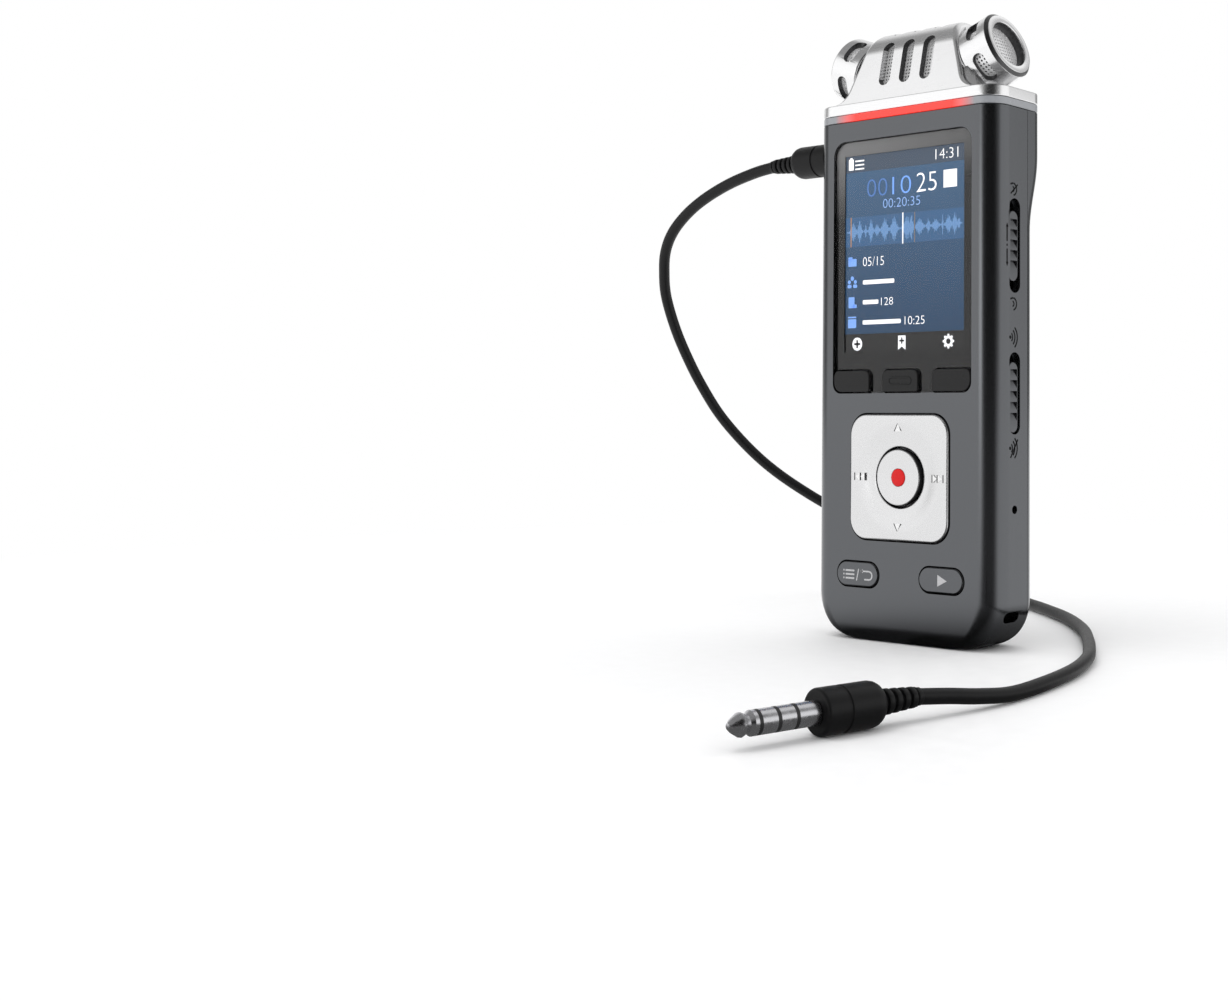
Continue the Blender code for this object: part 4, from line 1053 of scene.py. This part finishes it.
def make_screen():
    half, low, high = ACTIVE
    half_panel, panel_low, panel_high = PANEL
    panel = box_mark(-half_panel, half_panel, panel_low, panel_high, 0.4)
    base = along_y("screen_base", panel, (1.06, 2.1))
    dress(base, "display_panel", nodes=("lcd_panel",))
    white, pale = [], []
    flats = {
        "screen_blue": ([box_mark(-half, half, BAR_TOP, high)], "lit_blue"),
        "screen_bar": ([box_mark(-half, half, low, BAR_TOP)], "lit_bar"),
        "screen_head": ([box_mark(-half, half, HEAD_BOTTOM, high)], "lit_head"),
        "screen_band": ([box_mark(-half, half, *WAVE_BAND)], "lit_band"),
        "screen_wave": (wave_shapes(), "lit_wave"),
        "screen_orange": ([box_mark(-13.85, -13.6, *WAVE_BAND)], "lit_orange"),
        "screen_grey": ([box_mark(2.7, 2.95, *WAVE_BAND)], "lit_grey"),
    }
    white += [box_mark(-0.32, -0.02, 77.3, 83.4), box_mark(10.0, 13.3, 87.4, 90.8),
              box_mark(-14.4, -13.1, 92.8, 95.0, 0.1), box_mark(-14.1, -13.4, 94.8, 95.3)]
    white += [box_mark(-12.7, -10.3, 94.4 - 0.8 * i, 94.7 - 0.8 * i, 0.1) for i in range(3)]
    for left, right, z in ((-10.5, -2.3, 70.2), (-10.5, -6.4, 66.25), (-10.5, -0.6, 62.25)):
        white.append(box_mark(left, right, z - 0.42, z + 0.42, 0.2))
    white += [circle(-11.9, 58.0, 1.3, 24), icon_gear(11.3, 58.0, 1.4)]
    white.append([(-1.25, 59.4), (-1.25, 56.6), (-0.3, 57.3), (0.65, 56.6), (0.65, 59.4)])
    pale += [box_mark(-14.4, -12.2, 73.5, 75.0, 0.15), box_mark(-14.4, -13.3, 74.8, 75.4, 0.1),
             circle(-13.3, 71.1, 0.45, 16), circle(-14.1, 70.4, 0.4, 16), circle(-12.5, 70.4, 0.4, 16),
             box_mark(-14.6, -13.5, 69.2, 69.9, 0.3), box_mark(-13.1, -12.0, 69.2, 69.9, 0.3),
             box_mark(-14.3, -12.7, 65.2, 67.4, 0.2), box_mark(-13.1, -12.1, 65.2, 65.9, 0.1),
             box_mark(-14.4, -12.2, 61.2, 63.0, 0.15), box_mark(-14.4, -12.2, 63.2, 63.5, 0.1)]
    dark = [*icon_plus(-11.9, 58.0, 0.8), *icon_plus(-0.3, 58.4, 0.62), circle(11.3, 58.0, 0.55, 20)]
    top = PLANE - 0.06
    numbers = (("25", 3.3, 8.3, 87.1, 90.8), ("14:31", 8.0, 13.6, 93.0, 95.0),
               ("05/15", -10.5, -5.0, 73.4, 75.2), ("128", -5.7, -2.6, 65.5, 67.0),
               ("10:25", 0.4, 5.4, 61.5, 63.1))
    groups = {
        "screen_white": ([flat(white, top), *(digits(*number, top) for number in numbers)], "lit_white"),
        "screen_pale": ([flat(pale, top), digits("10", -2.9, 1.9, 87.1, 90.6, top)], "lit_pale"),
        "screen_timer": ([digits("00:20:35", -5.3, 4.2, 84.6, 86.4, top)], "lit_timer"),
        "screen_dim": ([digits("00", -9.5, -4.2, 87.1, 90.6, top)], "lit_dim"),
        "screen_dark": ([flat(dark, top - 0.02)], "lit_bar"),
    }
    for number, (name, (shapes, finish)) in enumerate(flats.items()):
        groups[name] = ([flat(shapes, PLANE - 0.008 * number)], finish)
    for name, (parts, finish) in groups.items():
        stick(joined(name, parts), finish)


# ------------------------------------------------------------------ keys

def make_function_keys():
    middle_z = (WINDOW[1] + FUNCTION_TOP) / 2
    for which in ("left", "middle", "right"):
        cap = cushioned(f"{which}_cap", lambda shrink: function_key_outline(which, KEY_GAP + shrink),
                        0.0, 1.5, 0.22)
        outline = function_key_outline(which)
        middle_x = (min(outline)[0] + max(outline)[0]) / 2
        stem = [(middle_x + 0.7 * (x - middle_x), middle_z + 0.7 * (z - middle_z)) for x, z in outline]
        add(cap, along_y("stem", stem, (1.2, 4.0)))
        if which == "middle":
            add(cap, raised_ring(3.0, 0.85, middle_z))
        dress(cap, "black_key", body=f"key_{which}", nodes=(f"key_{which}",))


def raised_ring(half, half_height, middle_z):
    """Low round-ended ring that marks the middle key."""
    rings = []
    for shrink, level in ((0.0, 0.05), (0.1, -0.1), (0.32, -0.1), (0.42, 0.05)):
        outline = rounded(-half + shrink, half - shrink, middle_z - half_height + shrink,
                          middle_z + half_height - shrink, half_height - 0.01 - shrink, 8)
        rings.append([point(x, level, z) for x, z in outline])
    return solid("raised_ring", rings, closed=True)


def make_low_keys():
    for name, side in (("menu_key", -1), ("play_key", 1)):
        cap = cushioned(f"{name}_cap", lambda shrink: low_key_outline(side, KEY_GAP + shrink),
                        -0.3, 4.0, 0.35)
        # The key's side walls get black_plastic as painted shade in the gap round the key.
        dress(cap, "graphite_shell", body=name, nodes=(name,), second="black_plastic",
              where=walls(-0.1, 9.0))
    listed = [box_mark(low, high, z - 0.17, z + 0.17)
              for low, high in ((-13.5, -11.2), (-14.1, -13.8)) for z in (12.0, 12.75, 13.5)]
    stroke = [(-10.75, 11.6), (-10.5, 11.6), (-9.95, 13.9), (-10.2, 13.9)]
    going_back = [box_mark(-9.5, -7.4, 13.35, 13.65), box_mark(-8.6, -7.4, 11.75, 12.05),
                  [(-9.5, 13.5), (-9.0, 13.1), (-9.0, 13.9)], arc_band((-7.4, 12.7), 0.8, 0.3, -90, 90)]
    triangle = [(9.8, 11.75), (12.05, 12.85), (9.8, 13.95)]
    for name, shapes, body in (("menu_mark", [*listed, stroke, *going_back], "menu_key"),
                               ("play_mark", [triangle], "play_key")):
        stick(flat(shapes, -0.31, name), "mark_pale", body)


def square_reach(angle, half_x, half_z, radius):
    """How far the round-cornered square's edge is from its middle along an angle."""
    low, high = 0.0, 30.0
    for _ in range(40):
        reach = (low + high) / 2
        u = max(abs(reach * math.cos(angle)) - half_x + radius, 0.0)
        v = max(abs(reach * math.sin(angle)) - half_z + radius, 0.0)
        low, high = (reach, high) if math.hypot(u, v) <= radius else (low, reach)
    return reach


def make_nav_pad():
    """Round-cornered square pad, dished round the hole for the record button."""
    steps, gap, edge_round = 144, 0.3, 0.45
    half_x, half_z, corner = NAV_HALF - gap, NAV_HALF - gap - NAV_TRIM, NAV_RADIUS - gap
    turns = [2 * math.pi * i / steps for i in range(steps)]
    edge = [square_reach(a, half_x, half_z, corner) for a in turns]

    def ring(reaches, depth):
        return [point(far * math.cos(a), depth, NAV_CENTRE + far * math.sin(a))
                for far, a in zip(reaches, turns)]

    def round_ring(radius, depth):
        return ring([radius] * steps, depth)

    dish_rim, dish_edge, dish_depth, back = RECORD_HOLE + 0.12, 10.6, 0.6, 1.3
    rings = [round_ring(RECORD_HOLE, back), round_ring(RECORD_HOLE, -RAISE + dish_depth + 0.12),
             round_ring(dish_rim, -RAISE + dish_depth)]
    for i in range(1, 13):
        depth = dish_depth * (0.5 + 0.5 * math.cos(math.pi * i / 12))
        rings.append(round_ring(dish_rim + (dish_edge - dish_rim) * i / 12, -RAISE + depth))
    for a in radians(0, 22.5, 45, 67.5, 90):
        rings.append(ring([far - edge_round * (1 - math.sin(a)) for far in edge],
                          -RAISE + edge_round * (1 - math.cos(a))))
    rings.append(ring(edge, back))
    pad = solid("pad_shape", rings, closed=True)
    pivot = point(0, 2.6, NAV_CENTRE)
    lugs = []
    for side in (-1, 1):
        heights = sorted(NAV_CENTRE + side * far for far in (8.2, 9.4))
        lug = block(f"lug_{side}", (-1.2, 1.2), (1.0, 3.6), heights)
        lugs.append(cut(lug, turned("lug_hole", [(0.6, 7.9), (0.6, 10.0)], pivot, (0, 0, side), steps=24)))
    add(pad, *lugs)
    # The pad's side walls get black_plastic as painted shade in the gap round the pad.
    dress(pad, "silver_key", body="nav_pad", nodes=("nav_pad",), smooth=60, second="black_plastic",
          where=walls(-0.2, 9.0))

    dark, pale = [], []
    for z, up in ((41.6, 1), (22.4, -1)):
        tip, foot = z + 0.75 * up, z - 0.75 * up
        pale.append([(-0.75, foot), (0.75, foot), (0.0, tip)])
        # A dark sliver along each arrow's left edge is painted shade on the mark's flank.
        dark.append([(-1.0, foot), (-0.75, foot), (0.0, tip), (-0.15, tip)])
    low, high = NAV_CENTRE - 0.75, NAV_CENTRE + 0.75
    for x, way in ((-9.2, -1), (9.4, 1)):
        for shift in (0.0, 1.25):
            tip = x + way * (shift - 0.6)
            near, far = tip - way * 0.1, tip - way * 0.32
            pale.append([(tip + way, NAV_CENTRE), (near, high), (near, low)])
            dark.append([(near, high), (far, high), (far, low), (near, low)])
        dark.append(box_mark(*sorted((x + way * 1.75, x + way * 1.97)), low, high))
    for name, shapes, finish in (("pad_marks_dark", dark, "mark_dark"),
                                 ("pad_marks_pale", pale, "mark_silver")):
        stick(flat(shapes, -RAISE - 0.012, name), finish, "nav_pad")


def make_record_button():
    centre = point(0, -RAISE, NAV_CENTRE)
    rim = round_edge(RECORD_RADIUS, 0.0, 0.3, -1)
    profile = [(2.8, 4.5), (2.8, 1.7), (RECORD_RADIUS, 1.5), *rim, (DOT_RADIUS + 0.2, 0.14),
               (DOT_RADIUS + 0.1, 0.18), (DOT_RADIUS + 0.1, 0.6)]
    # The cap's side wall gets black_plastic as painted shade in the gap round the button.
    dress(turned("record_cap", profile, centre, (0, 1, 0), steps=96), "silver_key", body="record_button",
          nodes=("record_button",), second="black_plastic", where=walls(-0.35, 9.0))
    dome = [(DOT_RADIUS, 0.5), (DOT_RADIUS, 0.12), (DOT_RADIUS - 0.12, 0.05), (1.1, 0.01), (0.3, 0.0)]
    dress(turned("record_lens", dome, centre, (0, 1, 0), steps=64), "red_lamp", body="record_button",
          nodes=("record_dot",))


NOTCH_DEPTH = 0.55       # depth of a grip notch below the knob's face
NOTCH_RUN = 1.5          # height over which a notch slopes back to that face


def make_side_knob(name, knob_zs, plate_half, pitch, first):
    """Slide knob with five grip notches across it, over the plate that keeps it in."""
    half, outer, edge = SLOT_WIDTH / 2 - 0.2, HALF_WIDTH - 0.3, 0.25

    def ring(x, shrink):
        return [point(x, depth, z) for depth, z in rounded(
            SLOT_DEPTH - half + shrink, SLOT_DEPTH + half - shrink, knob_zs[0] + shrink, knob_zs[1] - shrink,
            half - 0.01 - shrink, 10)]

    knob = solid(f"{name}_grip", [ring(20.8, 0.0), *(
        ring(outer - edge * (1 - math.sin(a)), edge * (1 - math.cos(a))) for a in QUARTER)])
    notches = []
    for i in range(5):
        high = first + 0.42 - pitch * i
        low = high - NOTCH_RUN * (1 + NOTCH_DEPTH) / NOTCH_DEPTH
        outline = [(outer + 1, high), (outer - NOTCH_DEPTH, high), (outer + 1, low)]
        notches.append(solid(f"notch_{i}", [[point(x, depth, z) for x, z in outline]
                                            for depth in (SLOT_DEPTH - 0.95, SLOT_DEPTH + 1.1)]))
    cut(knob, *notches)
    middle = sum(knob_zs) / 2
    plate = rounded(SLOT_DEPTH - 2.4, SLOT_DEPTH + 2.4, middle - plate_half, middle + plate_half, 0.6, 4)
    add(knob, along_x("plate", plate, (20.2, 21.0)))
    dress(soften(knob, 0.08), "graphite_shell", body=f"{name}_knob", nodes=(f"{name}_knob",))


def arc_band(centre, radius, width, start, end, steps=10):
    """Outline of a bent line round a centre, between two angles in degrees."""
    turns = [math.radians(start + (end - start) * i / steps) for i in range(steps + 1)]
    return arc(*centre, radius + width / 2, turns) + arc(*centre, radius - width / 2, turns[::-1])


def line_mark(start, end, width):
    a, b = Vector(start), Vector(end)
    across = (b - a).normalized().orthogonal() * width / 2
    return [tuple(a - across), tuple(b - across), tuple(b + across), tuple(a + across)]


def make_side_marks():
    """Small printed signs beside the two switches: in (depth, z) on the right face."""
    shapes = []
    for z in (86.6, 64.9):
        shapes += [arc_band((5.7, z), 1.15, 0.34, -80, 80), arc_band((5.6, z), 0.45, 0.32, -90, 90),
                   line_mark((4.9, z + 0.9), (5.8, z + 1.15), 0.34)]
    shapes.append(line_mark((5.0, 85.7), (7.2, 87.6), 0.32))
    shapes += [line_mark((3.95, 76.6), (3.95, 79.6), 0.24), line_mark((3.95, 72.4), (3.95, 75.2), 0.24),
               [(3.95, 80.1), (3.7, 79.3), (4.25, 79.3)], [(3.95, 71.9), (3.7, 72.7), (4.25, 72.7)],
               box_mark(3.83, 4.07, 75.7, 76.1)]
    for z, crossed in ((58.6, False), (37.8, True)):
        shapes += [arc_band((4.6, z), radius, 0.36, -48, 48) for radius in (1.0, 1.75, 2.5)]
        shapes.append(circle(4.9, z, 0.34, 16))
        if crossed:
            shapes.append(line_mark((5.0, z - 1.8), (7.3, z + 1.6), 0.36))
    outlines = [[point(HALF_WIDTH + 0.012, depth, z) for depth, z in outline] for outline in shapes]
    stick(filled("side_marks", outlines, Vector((1, 0, 0))), "mark_dark")


# ------------------------------------------------------------------ floor and light

BASE_LIGHT = 0.32
# Azimuth from the front and elevation, inner and outer angle, and how much light is added or which
# share of it is taken away. Angles are in degrees.
SOFT_BOXES = (
    (-40, 12, 16, 33, 0.95),
    (-8, 3, 2, 11, 2.4),
    (116, -2, 24, 42, 0.85),
    (160, 34, 8, 24, 0.3),
    (-128, 15, 20, 46, 0.6),
    (180, 52, 8, 30, 0.6),
)
DARK_CARDS = (
    (38, 0, 20, 40, 0.95),
    (52, 38, 16, 28, 0.96),
)


def make_stage():
    """A pale floor that turns to even white away from the recorder, and soft light from all round. In
    reflections the floor glows, dark near the recorder and towards the dark card as painted shade.
    """
    shape = bmesh.new()
    shape.faces.new([shape.verts.new((x, y, -0.00002)) for x, y in ((-6, -6), (6, -6), (6, 6), (-6, 6))])
    floor = finished("floor", shape)
    look = Finish("floor", (0.94, 0.94, 0.945), 0.6, grain=300.0, shade=0.01, relief=0.0)
    floor.data.materials.append(look.material)
    far = look.node("ShaderNodeVectorMath")
    far.operation = "LENGTH"
    look.links.new(look.place.outputs["Object"], far.inputs[0])

    def glow(strength=None):
        """Plain white light, of strength 1 unless a value is linked."""
        made = look.node("ShaderNodeEmission")
        if strength:
            look.links.new(strength, made.inputs["Strength"])
        return made.outputs[0]

    def blend(share, first, second):
        made = look.node("ShaderNodeMixShader")
        for socket, source in zip(made.inputs, (share, first, second)):
            look.links.new(source, socket)
        return made.outputs[0]

    to_white = look.span(far.outputs["Value"], 0.10, 0.34, 0.0, 1.0)
    # Painted shade in reflections: the floor's glow is dark near the recorder.
    reflection_glow_with_painted_shade = look.span(far.outputs["Value"], 0.018, 0.060, 0.03, 1.2)
    way = look.node("ShaderNodeVectorMath")
    way.operation = "NORMALIZE"
    look.links.new(look.place.outputs["Object"], way.inputs[0])
    # Painted shade in reflections: the glow is darker still towards the first dark card.
    azimuth, _, inner, outer, _ = DARK_CARDS[0]
    along = along_node(look.nodes, look.links, way.outputs["Vector"], heading(azimuth, 0))
    painted_card_shade = look.span(along, math.cos(math.radians(outer)), math.cos(math.radians(inner)), 1.0, 0.12)
    reflection_glow_with_painted_shade = look.maths("MULTIPLY", reflection_glow_with_painted_shade, painted_card_shade)
    rays = look.node("ShaderNodeLightPath")
    shown = blend(to_white, look.shader.outputs[0], glow())
    look.links.new(blend(rays.outputs["Is Glossy Ray"], shown, glow(reflection_glow_with_painted_shade)),
                   look.nodes["Material Output"].inputs["Surface"])

    light = bpy.data.lights.new("key", "AREA")
    light.shape = "DISK"
    light.size = 0.9
    light.energy = 4.0
    key = linked("key", light)
    key.visible_glossy = False
    key.location = (-0.3, -0.4, 1.25)
    key.rotation_euler = (Vector((0, 0, 0.06)) - key.location).to_track_quat("-Z", "Y").to_euler()


def heading(azimuth, elevation):
    """Unit direction at an angle from straight ahead of the front, positive to the right, and above level."""
    a, e = math.radians(azimuth), math.radians(elevation)
    return Vector((math.sin(a) * math.cos(e), -math.cos(a) * math.cos(e), math.sin(e)))


def make_world():
    """Even white, but in reflections a studio: soft boxes with a dark gap between them."""
    world = bpy.data.worlds.new("studio")
    world.use_nodes = True
    bpy.context.scene.world = world
    nodes, links = world.node_tree.nodes, world.node_tree.links
    place = nodes.new("ShaderNodeTexCoord")

    def patch(azimuth, elevation, inner, outer):
        """1 within the inner angle of a direction, falling smoothly to 0 at the outer one."""
        along = along_node(nodes, links, place.outputs["Generated"], heading(azimuth, elevation))
        span = nodes.new("ShaderNodeMapRange")
        span.interpolation_type = "SMOOTHSTEP"
        links.new(along, span.inputs["Value"])
        span.inputs["From Min"].default_value = math.cos(math.radians(outer))
        span.inputs["From Max"].default_value = math.cos(math.radians(inner))
        return span.outputs["Result"]

    level = BASE_LIGHT
    for azimuth, elevation, inner, outer, gain in SOFT_BOXES:
        added = maths_node(nodes, links, "MULTIPLY", patch(azimuth, elevation, inner, outer), gain)
        level = maths_node(nodes, links, "ADD", level, added)
    for azimuth, elevation, inner, outer, share in DARK_CARDS:
        taken = maths_node(nodes, links, "MULTIPLY", patch(azimuth, elevation, inner, outer), share)
        level = maths_node(nodes, links, "MULTIPLY", level, maths_node(nodes, links, "SUBTRACT", 1.0, taken))
    rays = nodes.new("ShaderNodeLightPath")
    studio, even = (nodes.new("ShaderNodeBackground") for _ in range(2))
    mixed = nodes.new("ShaderNodeMixShader")
    links.new(level, studio.inputs["Strength"])
    links.new(rays.outputs["Is Glossy Ray"], mixed.inputs[0])
    links.new(even.outputs[0], mixed.inputs[1])
    links.new(studio.outputs[0], mixed.inputs[2])
    for background in (studio, even):
        background.inputs["Color"].default_value = (1, 1, 1, 1)
    world.cycles.sampling_method = "NONE"
    links.new(mixed.outputs[0], nodes["World Output"].inputs["Surface"])


make_world()
make_stage()
make_lead()
make_front_housing()
make_rear_housing()
make_light_ring()
make_head()
make_head_mesh()
make_window()
make_screen()
make_function_keys()
make_low_keys()
make_nav_pad()
make_record_button()
make_side_knob("hold", HOLD_KNOB, 10.0, 1.97, 80.6)
make_side_knob("wireless", WIRELESS_KNOB, 9.4, 2.05, 52.2)
make_side_marks()
